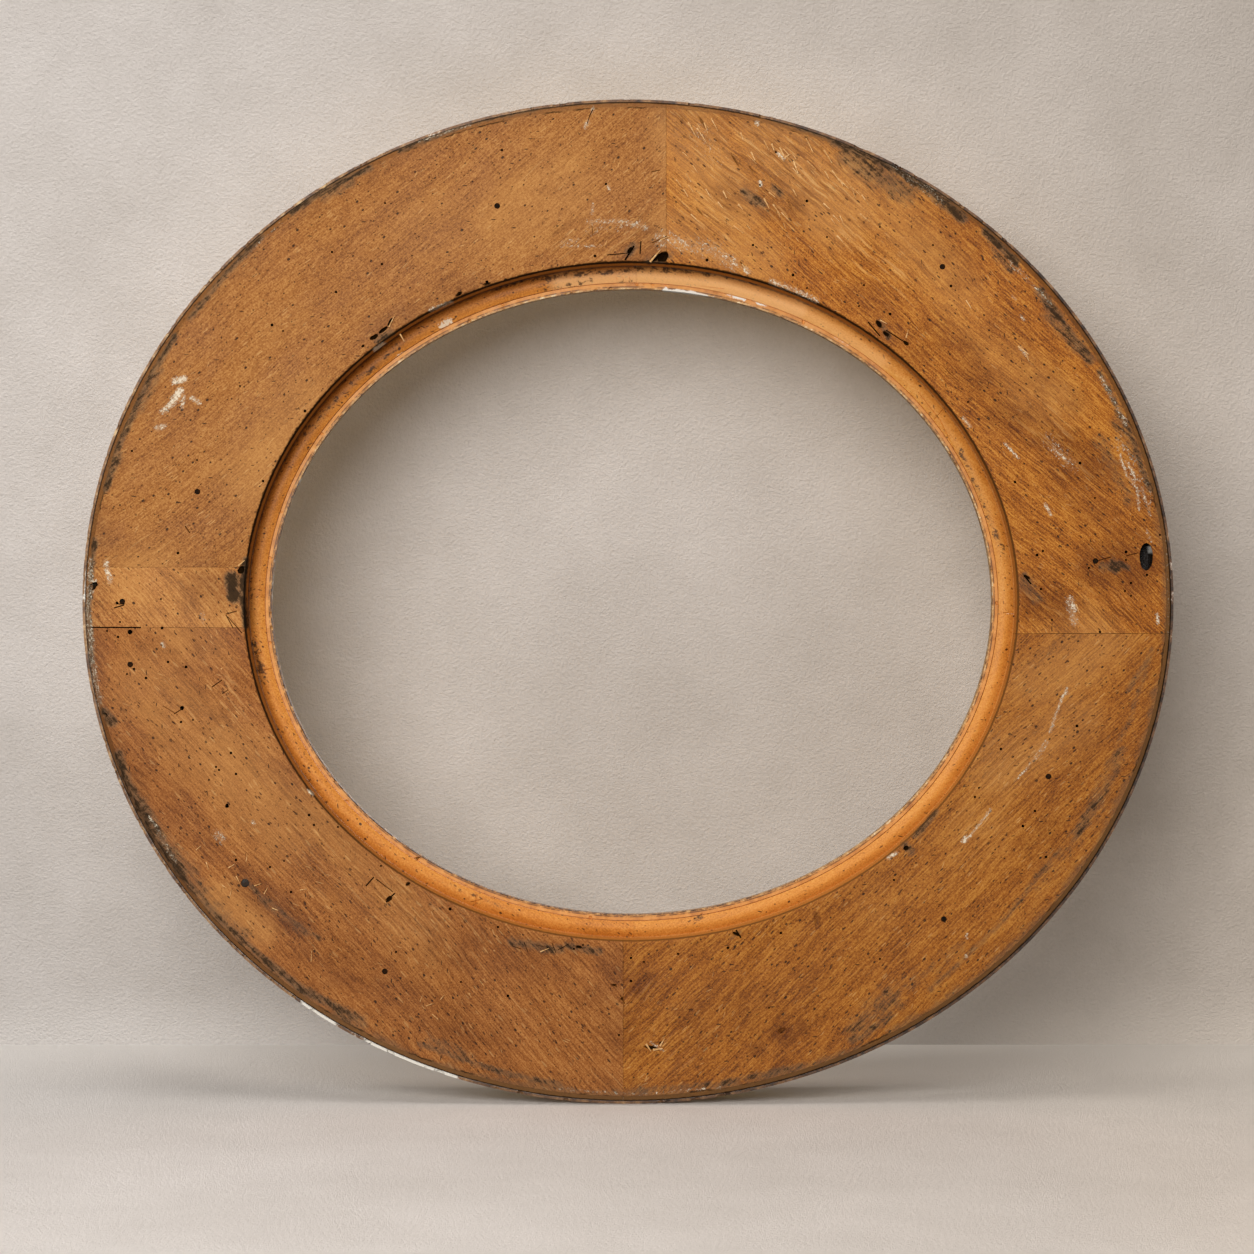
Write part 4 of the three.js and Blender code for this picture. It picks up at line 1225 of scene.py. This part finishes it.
def board_wood(name, degrees, seed, streak, dark, middle, light):
    """Bare old board, waxed by handling, with its grain at an angle on the back face."""
    material, tree, shader = new_material(name)
    grain = put_group(tree, wood_grain, Angle=math.radians(degrees), Seed=seed, Streak=streak)
    marks = put_group(tree, old_marks, Fibre=grain["Fibre"])
    worn = put_group(tree, rim_wear_and_shade)
    fibre, patch, torn, hollow = grain["Fibre"], grain["Patch"], marks["Torn"], worn["Hollow"]
    pale = (stored(tree, "pale") + patch.swing(1.2)).fade(0.15, 1.0)
    polish = stored(tree, "polish") * hollow
    # painted highlight on the upper right wall of the hook hole
    painted_highlight = polish * put(tree, "ShaderNodeNewGeometry", output="Normal").dot(HOOK_HOLE_HIGHLIGHT_FACING).fade(0.968, 0.992)
    colour = lay(
        ramp(grain["Tone"], (0.12, dark), (0.5, middle), (0.9, light)),
        (pale * 0.45, PALE_TAN),
        (grain["Pores"] * 0.9, PORE_BROWN),
        (grain["Specks"] * (torn * -0.6 + 0.9), SPECK_BLACK),
        (grain["Flecks"] * (torn * 0.3 + 0.6), FLECK_TAN),
        (torn * fibre.fade(0.46, 0.34) * 0.55, dark),
        (torn * fibre.fade(0.56, 0.68) * 0.5, FLECK_TAN),
        (marks["Stain"] * 0.66, STAIN_SHADE, "MULTIPLY"),
        (worn["Grime"] * 0.25, GRIME_BROWN),
        # dark worn bevel, with painted light on the lower right where it faces away from the light
        (worn["Bevel"] * 0.45, tint(BEVEL_BROWN, worn["Lit"], BEVEL_PAINTED_LIGHT_TAN)),
        # painted shade along the outer edge on the lower right
        (worn["Smoke"] * 0.35, FILM_AND_SHADE_BROWN),
        # rebate wall: crust and painted shade near its top, darkest on the side away from the light
        (worn["Wall"], tint(WALL_ORANGE, worn["Line"], WALL_CRUST_AND_SHADE)),
        (worn["Arris"] * 0.8, SOOT_BLACK),
        # rim line: crust and painted shade, darkest on the side away from the light
        (worn["Rim"] * 0.75, CORNER_SHADE_AND_SOOT_BROWN),
        (marks["Film"] * 0.6, FILM_AND_SHADE_BROWN),
        (marks["Soot"] * 0.85, SOOT_BLACK),
        (marks["Dust"] * 0.4, DUST_PINK),
        (marks["Chalk"] * 0.85, CHALK_CREAM),
        # painted shade and dust in every recess below the back face
        (hollow * 0.97, RECESS_SHADE_BLACK),
        (polish, HOLE_BROWN),
        # painted highlight in the hook hole
        (painted_highlight * 1.4, PAINTED_HIGHLIGHT_GREY),
    )
    dull = hollow | worn["Rim"] | marks["Soot"] | worn["Wall"] | worn["Arris"]
    looks = {
        "Base Color": colour,
        "Specular IOR Level": dull.fade(0, 1, WOOD_SHEEN, 0) | polish * 0.25,
        "Roughness": patch.fade(0.3, 0.7, 0.52, 0.7) - polish * 0.3,
    }
    relief = grain["Height"] + torn * fibre.swing(4.0) + marks["Soot"] * 0.4 + marks["Chalk"] * 0.5
    dress(shader, looks, relief, 0.6, 0.4 * MM)
    return material


def lip_wood(name, degrees, seed, dark, middle, light):
    """Smooth planed wood of the lip, cleaner and more orange than the back."""
    material, tree, shader = new_material(name)
    grain = put_group(tree, wood_grain, Angle=math.radians(degrees), Seed=seed, Streak=0.35)
    marks = put_group(tree, old_marks, Spread=1.9, Fibre=grain["Fibre"])
    inset = stored(tree, "inset")
    ragged = inset + speckle(millimetres(tree), 0.5, 3, 0.6).swing(1.6)
    # painted shade in the lip's corner against the rebate wall, on the side away from the light
    corner_shade = ragged.fade(RIM_MM + 0.9, RIM_MM + 0.2) * put_group(tree, rim_wear_and_shade)["Crust"]
    colour = lay(
        ramp(grain["Tone"].swing(0.9) + 0.5, (0.1, dark), (0.5, middle), (0.9, light)),
        (grain["Pores"] * 0.75, PORE_BROWN),
        (grain["Specks"] * 0.9, PORE_BROWN),
        # painted shade towards the rebate, so the lip looks rounded
        (inset.fade(RIM_MM + 4.4, RIM_MM + 0.4) * 0.5, LIP_SHADE, "MULTIPLY"),
        (stored(tree, "pale") * 0.7, LIP_TAN),
        (corner_shade * 0.6, CORNER_SHADE_AND_SOOT_BROWN),
        (marks["Film"] * 0.15, FILM_AND_SHADE_BROWN),
        (marks["Soot"] * 0.85, CORNER_SHADE_AND_SOOT_BROWN),
        (marks["Chalk"] * 0.8, CHALK_CREAM),
    )
    looks = {
        "Base Color": colour,
        "Specular IOR Level": WOOD_SHEEN,
        "Roughness": grain["Patch"].fade(0.3, 0.7, 0.42, 0.56),
    }
    dress(shader, looks, grain["Height"], 0.3, 0.3 * MM)
    return material


def tongue_wood():
    material, tree, shader = new_material("tongue_wood")
    grain = put_group(tree, wood_grain, Angle=0.4, Seed=51.0)
    colour = ramp(grain["Tone"], (0.1, (0.26, 0.12, 0.04)), (0.9, (0.5, 0.27, 0.11)))
    looks = {"Base Color": tint(colour, grain["Pores"], PORE_BROWN), "Roughness": 0.7}
    dress(shader, looks, grain["Height"], 0.4, 0.3 * MM)
    return material


def fresh_wood():
    """Paler wood where fibres have torn off or stand up."""
    material, tree, shader = new_material("fresh_wood")
    tone = put_group(tree, wood_grain, Angle=math.radians(-50), Seed=7.0)["Tone"]
    colour = ramp(tone, (0.1, (0.44, 0.2, 0.06)), (0.5, (0.66, 0.36, 0.13)), (0.9, (0.82, 0.54, 0.27)))
    dress(shader, {"Base Color": colour, "Specular IOR Level": WOOD_SHEEN, "Roughness": 0.7})
    return material


IRON_BLACK = (0.01, 0.008, 0.006)
RUST_BROWN = (0.03, 0.011, 0.004)
WORN_GREY = (0.06, 0.045, 0.032)


def rusted_iron(name, shine):
    """Black forged iron with brown rust."""
    material, tree, shader = new_material(name)
    place = millimetres(tree)
    rust = speckle(place, 0.9, 4, 0.65).fade(0.42, 0.62)
    pits = speckle(place, 2.4, 3, 0.6)
    looks = {
        "Base Color": tint(tint(IRON_BLACK, rust, RUST_BROWN), shine, WORN_GREY),
        "Specular IOR Level": shine,
        "Metallic": rust.fade(0, 1, shine, 0),
        "Roughness": rust.fade(0, 1, 0.48, 0.85),
    }
    dress(shader, looks, pits, 0.5, 0.3 * MM)
    return material


BOLE_RED = (0.36, 0.085, 0.035)
BARE_GESSO = (0.72, 0.56, 0.38)
EDGE_GESSO_WHITE = (0.8, 0.74, 0.64)
DIRT_BROWN = (0.07, 0.036, 0.016)
CRACK_BROWN = (0.03, 0.016, 0.008)
LINE_BROWN = (0.06, 0.024, 0.008)
SIDE_OCHRE = (0.2, 0.1, 0.034)
PALE_SIDE = (-0.97, 0, 0.25)  # the outer edge is palest towards this side
DARK_SIGHT = (-0.7, 0, -0.7)  # the sight edge is dirtiest here
ROLL_TOP_MM = (ROLL_CENTRE + ROLL_RADIUS) / MM
RUBBED_ROLL_MM = 0.55 * ROLL_RADIUS / MM
BEAD_MM = (BAND - SIGHT_ROUND - COVE_WIDTH - BEAD_RADIUS) / MM
WRAP_MM = (BAND - COAT_WRAP) / MM
SIGHT_TOP_MM = SIGHT_TOP / MM
DIRTY_HOLLOW_MM = 50  # inset of the dirtiest line on the front
MID_BAND_MM = 40  # between the outer edge and the sight edge


def old_gilding():
    """Gold leaf over bole and gesso: rubbed heights, dirty hollows, cracks, chips and toned edges."""
    material, tree, shader = new_material("old_gilding")
    place = millimetres(tree)
    inset = stored(tree, "inset")
    height = parts_of(place)[1] - BACK_Y / MM
    wide = speckle(place, 0.03, 3, 0.6)
    mottle = speckle(place, 0.16, 4, 0.65)
    fine = speckle(place, 1.3, 3, 0.6)
    flaked = speckle(place, 0.4, 5, 0.75)
    crumbled = speckle(place, 0.18, 6, 0.75)
    away = outward(place)

    roll_top = height.fade(ROLL_TOP_MM - RUBBED_ROLL_MM, ROLL_TOP_MM)
    proud = roll_top | abs(inset - BEAD_MM).fade(2.2, 0.4)
    rubbed = proud * 0.3 + (mottle.swing(0.9) + wide.swing(0.9))
    bole = (rubbed + fine.swing(0.5)).fade(0.26, 0.42)
    inputs = {"Vector": place, "Scale": 0.055, "Randomness": 1}
    cells = put(tree, "ShaderNodeTexVoronoi", inputs, "Distance", feature="DISTANCE_TO_EDGE")
    crack = (cells + mottle.swing(0.05)).fade(0.012, 0.002) * wide.fade(0.45, 0.6)
    on_wrap = inset.fade(WRAP_MM - 0.9, WRAP_MM - 0.3)
    back_side = height.fade(8, 5) | on_wrap * height.fade(SIGHT_TOP_MM - 0.5, SIGHT_TOP_MM - 2.5)
    bare = (rubbed + (fine.swing(0.7) + back_side * 0.34)).fade(0.46, 0.56)
    toned = abs(inset - DIRTY_HOLLOW_MM).fade(22, 3) * 0.35 | back_side * 0.75
    dirt = (toned + speckle(place, 0.5, 4, 0.6).swing(1.2)).fade(0.25, 0.75)
    gold = ramp(mottle, (0.25, (0.62, 0.36, 0.1)), (0.5, (0.83, 0.55, 0.19)), (0.75, (0.93, 0.68, 0.3)))

    edge_tone = ramp(
        away.dot(PALE_SIDE) * 0.07 + (crumbled - 0.03),
        (0.34, (0.03, 0.014, 0.006)), (0.46, (0.13, 0.056, 0.02)),
        (0.58, (0.3, 0.15, 0.055)), (0.7, (0.62, 0.42, 0.21)),
    )
    sight_tone = ramp(
        flaked - (away.dot(DARK_SIGHT) | 0) * 0.13,
        (0.36, (0.07, 0.03, 0.01)), (0.46, (0.4, 0.18, 0.05)),
        (0.56, (0.62, 0.36, 0.13)), (0.66, (0.82, 0.66, 0.42)),
    )
    lip_tone = ramp(
        crumbled, (0.3, (0.4, 0.13, 0.02)), (0.5, (0.66, 0.26, 0.05)), (0.7, (0.76, 0.35, 0.09))
    )
    thin_line = abs(inset + crumbled.swing(0.8) - (SIGHT_MM - 0.95)).fade(0.4, 0.1)
    thin_line = thin_line * crumbled.fade(0.62, 0.45)
    on_sight = (inset + flaked.swing(0.8)).fade(SIGHT_MM - 0.7, SIGHT_MM - 0.45)
    lip_tone = lay(lip_tone, (thin_line * 0.8, LINE_BROWN), (on_sight, sight_tone))
    gesso = (stored(tree, "gesso") + crumbled.swing(1.4)).fade(0.5, 0.7)
    turned = lay(
        edge_tone, (inset.fade(MID_BAND_MM, MID_BAND_MM + 1), lip_tone), (gesso, EDGE_GESSO_WHITE)
    )
    toned_side = inset.fade(2.2, 1.2) * height.fade(24, 18)
    colour = lay(
        gold,
        (bole, BOLE_RED),
        (bare, BARE_GESSO),
        (dirt * 0.75, DIRT_BROWN),
        (crack, CRACK_BROWN),
        (toned_side * 0.85, SIDE_OCHRE),
        (back_side, turned),
    )
    lost = bole | bare | crack | dirt * 0.8 | back_side | toned_side
    looks = {
        "Base Color": colour,
        "Metallic": lost.fade(0, 1, 1, 0),
        "Roughness": lost * 0.3 + mottle.fade(0.3, 0.7, 0.24, 0.4),
    }
    dress(shader, looks, fine.swing(0.35) - crack * 0.9 - bare * 0.4, 0.4, 0.25 * MM)
    return material


# Grain in degrees, seed, share of the streaks on boards, and dark, middle and light wood
BOARD_LOOKS = {
    "back_board_upper_left": (
        40, 12, 0.62, (0.15, 0.045, 0.007), (0.335, 0.122, 0.0245), (0.51, 0.235, 0.064)
    ),
    "back_board_upper_right": (
        -42, 33, 1.0, (0.15, 0.038, 0.003), (0.375, 0.114, 0.01), (0.585, 0.245, 0.038)
    ),
    "back_board_lower_right": (
        44, 57, 0.85, (0.135, 0.036, 0.004), (0.322, 0.1, 0.0102), (0.49, 0.198, 0.031)
    ),
    "back_board_lower_left": (
        -48, 74, 0.8, (0.135, 0.039, 0.006), (0.3, 0.097, 0.0175), (0.465, 0.19, 0.048)
    ),
    "left_splice_block": (-50, 95, 0.9, (0.19, 0.062, 0.012), (0.42, 0.156, 0.034), (0.58, 0.28, 0.08)),
}
LIP_LOOKS = {
    "front_moulding_upper_left": (25, 21, (0.31, 0.095, 0.01), (0.56, 0.19, 0.025), (0.69, 0.295, 0.058)),
    "front_moulding_upper_right": (-35, 42, (0.4, 0.135, 0.016), (0.64, 0.255, 0.042), (0.75, 0.38, 0.094)),
    "front_moulding_lower_right": (30, 63, (0.4, 0.137, 0.017), (0.65, 0.25, 0.039), (0.76, 0.365, 0.08)),
    "front_moulding_lower_left": (-40, 84, (0.34, 0.112, 0.013), (0.6, 0.213, 0.03), (0.73, 0.33, 0.064)),
}
SMOOTH_ANGLE = math.radians(40)


def finish_piece(piece, material, node):
    piece.data.materials.clear()
    piece.data.materials.append(material)
    pick(piece)
    bpy.ops.object.shade_smooth_by_angle(angle=SMOOTH_ANGLE)
    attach(piece, "root")
    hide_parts(node)


for node, piece in boards.items():
    slot = "splice_wood" if node == "left_splice_block" else "back_wood"
    finish_piece(piece, board_wood(piece.name, *BOARD_LOOKS[node]), node)
for node, piece in mouldings.items():
    finish_piece(piece, lip_wood(piece.name, *LIP_LOOKS[node]), node)
iron = rusted_iron("rusted_iron", 0.0)
worn_iron = rusted_iron("worn_iron", 0.22)
for node, piece in nails.items():
    finish_piece(piece, worn_iron if node == BROAD_HEADED else iron, node)
finish_piece(coat, old_gilding(), "gilded_gesso_coat")
splinters.data.materials.append(fresh_wood())
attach(splinters, "root")
tongue_material = tongue_wood()
for name in TONGUES:
    for material_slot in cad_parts[name].material_slots:
        material_slot.material = tongue_material


# Floor and wall in one backdrop. Its back side is clear, so the front of the frame shows from behind it.
FLOOR_Z = coat_low[2]
FRAME_TO_WALL = 0.174  # from the back plane to the foot of the wall
WALL_Y = BACK_Y + FRAME_TO_WALL
WALL_TOP_GAP = 8 * MM
WALL_LEAN = (WALL_Y - coat_high[1] - WALL_TOP_GAP) / (coat_high[2] - FLOOR_Z)
BACKDROP_HALF_WIDTH = 3.0
FLOOR_REACH = 3.0
WALL_HEIGHT = 1.2
NEAR_WALL = WALL_Y - 0.01
deselect()
bpy.ops.mesh.primitive_plane_add(size=1)
backdrop = bpy.context.object
name_piece(backdrop, "backdrop")
edit(backdrop)
bpy.ops.transform.resize(value=(2 * BACKDROP_HALF_WIDTH, FLOOR_REACH, 1))
bpy.ops.transform.translate(value=(0, WALL_Y - FLOOR_REACH / 2, FLOOR_Z))
leave()
for edge in backdrop.data.edges:
    edge.select = all(backdrop.data.vertices[v].co.y > NEAR_WALL for v in edge.vertices)
for face in backdrop.data.polygons:
    face.select = False
for vertex in backdrop.data.vertices:
    vertex.select = vertex.co.y > NEAR_WALL
bpy.ops.object.mode_set(mode="EDIT")
bpy.ops.mesh.select_mode(type="EDGE")
wall_rise = (0, -WALL_LEAN * WALL_HEIGHT, WALL_HEIGHT)
bpy.ops.mesh.extrude_region_move(TRANSFORM_OT_translate={"value": wall_rise})
bpy.ops.mesh.select_all(action="SELECT")
bpy.ops.mesh.normals_make_consistent(inside=True)
leave()
upward = max(backdrop.data.polygons, key=lambda face: face.area * (abs(face.normal.z) > 0.9))
if upward.normal.z < 0:
    backdrop.data.flip_normals()
backdrop.visible_diffuse = False
backdrop.visible_glossy = False
backdrop.visible_transmission = False
backdrop.visible_shadow = False

PLASTER_DARK = (0.56, 0.505, 0.457)
PLASTER_LIGHT = (0.75, 0.69, 0.645)
PLASTER_PALE = (0.85, 0.79, 0.735)  # painted light on the floor and the foot of the wall
LAMP_SIDE = (0.32, 0.31, 0.3)  # painted shade on the floor under the lamps
FAR_SIDE = (0.88, 0.845, 0.8)  # darkens the side away from the lamps
FAR_FOOT = (1.1, 1.04, 0.96)  # painted light at its foot, in the frame's shadow
# painted shade towards the top of the wall
TOP_SHADE = (0.88, 0.88, 0.88)
FLOOR_MM = FLOOR_Z / MM


def plaster():
    """Pale warm grey plaster, faintly mottled and trowelled. Painted light and shade drift across the
    backdrop.
    """
    material, tree, shader = new_material("plaster")
    place = millimetres(tree)
    grit = speckle(place, 0.76, 4, 0.75)
    shade = speckle(place, 0.012, 5, 0.65).swing(1.6) + grit.swing(0.8) + 0.5
    across, deep, height = parts_of(place)
    on_floor = height.fade(FLOOR_MM + 0.3, FLOOR_MM + 0.1)
    # painted light: the floor paler towards the wall, and the foot of the wall paler
    floor_share = on_floor * deep.fade(-40, WALL_Y / MM, 0.3, 1)
    foot_share = (1 - on_floor) * height.fade(FLOOR_MM + 34, FLOOR_MM, 0, 0.55)
    # painted light in the frame's shadow on the foot of the wall, right of the frame
    at_foot = height.fade(40, -120) * across.fade(120, 210) * on_floor.fade(0, 1, 1, 0.5)
    colour = lay(
        ramp(shade, (0.0, PLASTER_DARK), (1.0, PLASTER_LIGHT)),
        (floor_share + foot_share, PLASTER_PALE),
        (deep.fade(-330, -900), LAMP_SIDE, "MULTIPLY"),
        (across.fade(-260, 300), tint(FAR_SIDE, at_foot, FAR_FOOT), "MULTIPLY"),
        (height.fade(90, 270), TOP_SHADE, "MULTIPLY"),
    )
    dress(shader, {"Base Color": colour, "Roughness": 0.9}, grit, 0.8, 1.3 * MM)
    behind = put(tree, "ShaderNodeNewGeometry", output="Backfacing")
    inputs = {0: behind, 1: Wire(shader.outputs[0]), 2: put(tree, "ShaderNodeBsdfTransparent")}
    feed(tree.nodes["Material Output"].inputs["Surface"], put(tree, "ShaderNodeMixShader", inputs))
    return material


backdrop.data.materials.append(plaster())

# Soft light: large lamps on the left for the back and for the wall, a weak one overhead,
# and one for the gilded front
scene = bpy.context.scene
scene.view_settings.view_transform = "Standard"
world = bpy.data.worlds.new("studio")
world.use_nodes = True
sky = world.node_tree.nodes["Background"].inputs
feed(sky["Color"], (1.0, 0.985, 0.97))
feed(sky["Strength"], 0.225)
scene.world = world


def lamp(name, place, aim, size, power, colour, shadow=True):
    data = bpy.data.lights.new(name, "AREA")
    data.use_shadow = shadow
    data.shape = "DISK"
    data.size = size
    data.energy = power
    data.color = colour
    made = bpy.data.objects.new(name, data)
    scene.collection.objects.link(made)
    made.location = place
    made.rotation_euler = (Vector(aim) - Vector(place)).to_track_quat("-Z", "Y").to_euler()
    return made


def light_only(lit_by, pieces):
    """Keeps a lamp's light to these pieces."""
    lit = bpy.data.collections.new(lit_by.name + "_lit")
    for piece in pieces:
        lit.objects.link(piece)
    lit_by.light_linking.receiver_collection = lit


LAMP_WHITE = (1.0, 0.99, 0.98)
frame_key = lamp("frame_key", (-0.4, -1.65, 0.36), (0, 0, 0), 0.8, 25.6, LAMP_WHITE)
wall_key = lamp("wall_key", (-0.44, -1.6, 0.6), (0, 0, 0), 1.25, 36.5, LAMP_WHITE)
front_key = lamp("front_key", (0.7, 1.6, 0.8), (0, 0, 0), 0.9, 20, LAMP_WHITE, shadow=False)
lamp("overhead", (-0.1, -0.5, 1.6), (0, 0, FLOOR_Z), 0.9, 11, LAMP_WHITE)
light_only(frame_key, (*boards.values(), *mouldings.values(), *nails.values(), coat, splinters))
light_only(wall_key, (backdrop,))
light_only(front_key, (*mouldings.values(), coat))

# Camera where the photograph was taken: level with the frame, square to its back
SENSOR = 36
camera_data = bpy.data.cameras.new("camera")
camera_data.sensor_width = SENSOR
camera_data.lens = SENSOR * CAMERA_DISTANCE / (IMAGE_SIZE * PIXEL)
camera = bpy.data.objects.new("camera", camera_data)
scene.collection.objects.link(camera)
camera.location = (CAMERA_X, BACK_Y - CAMERA_DISTANCE, CAMERA_Z)
camera.rotation_euler = (math.pi / 2, 0, 0)
scene.camera = camera
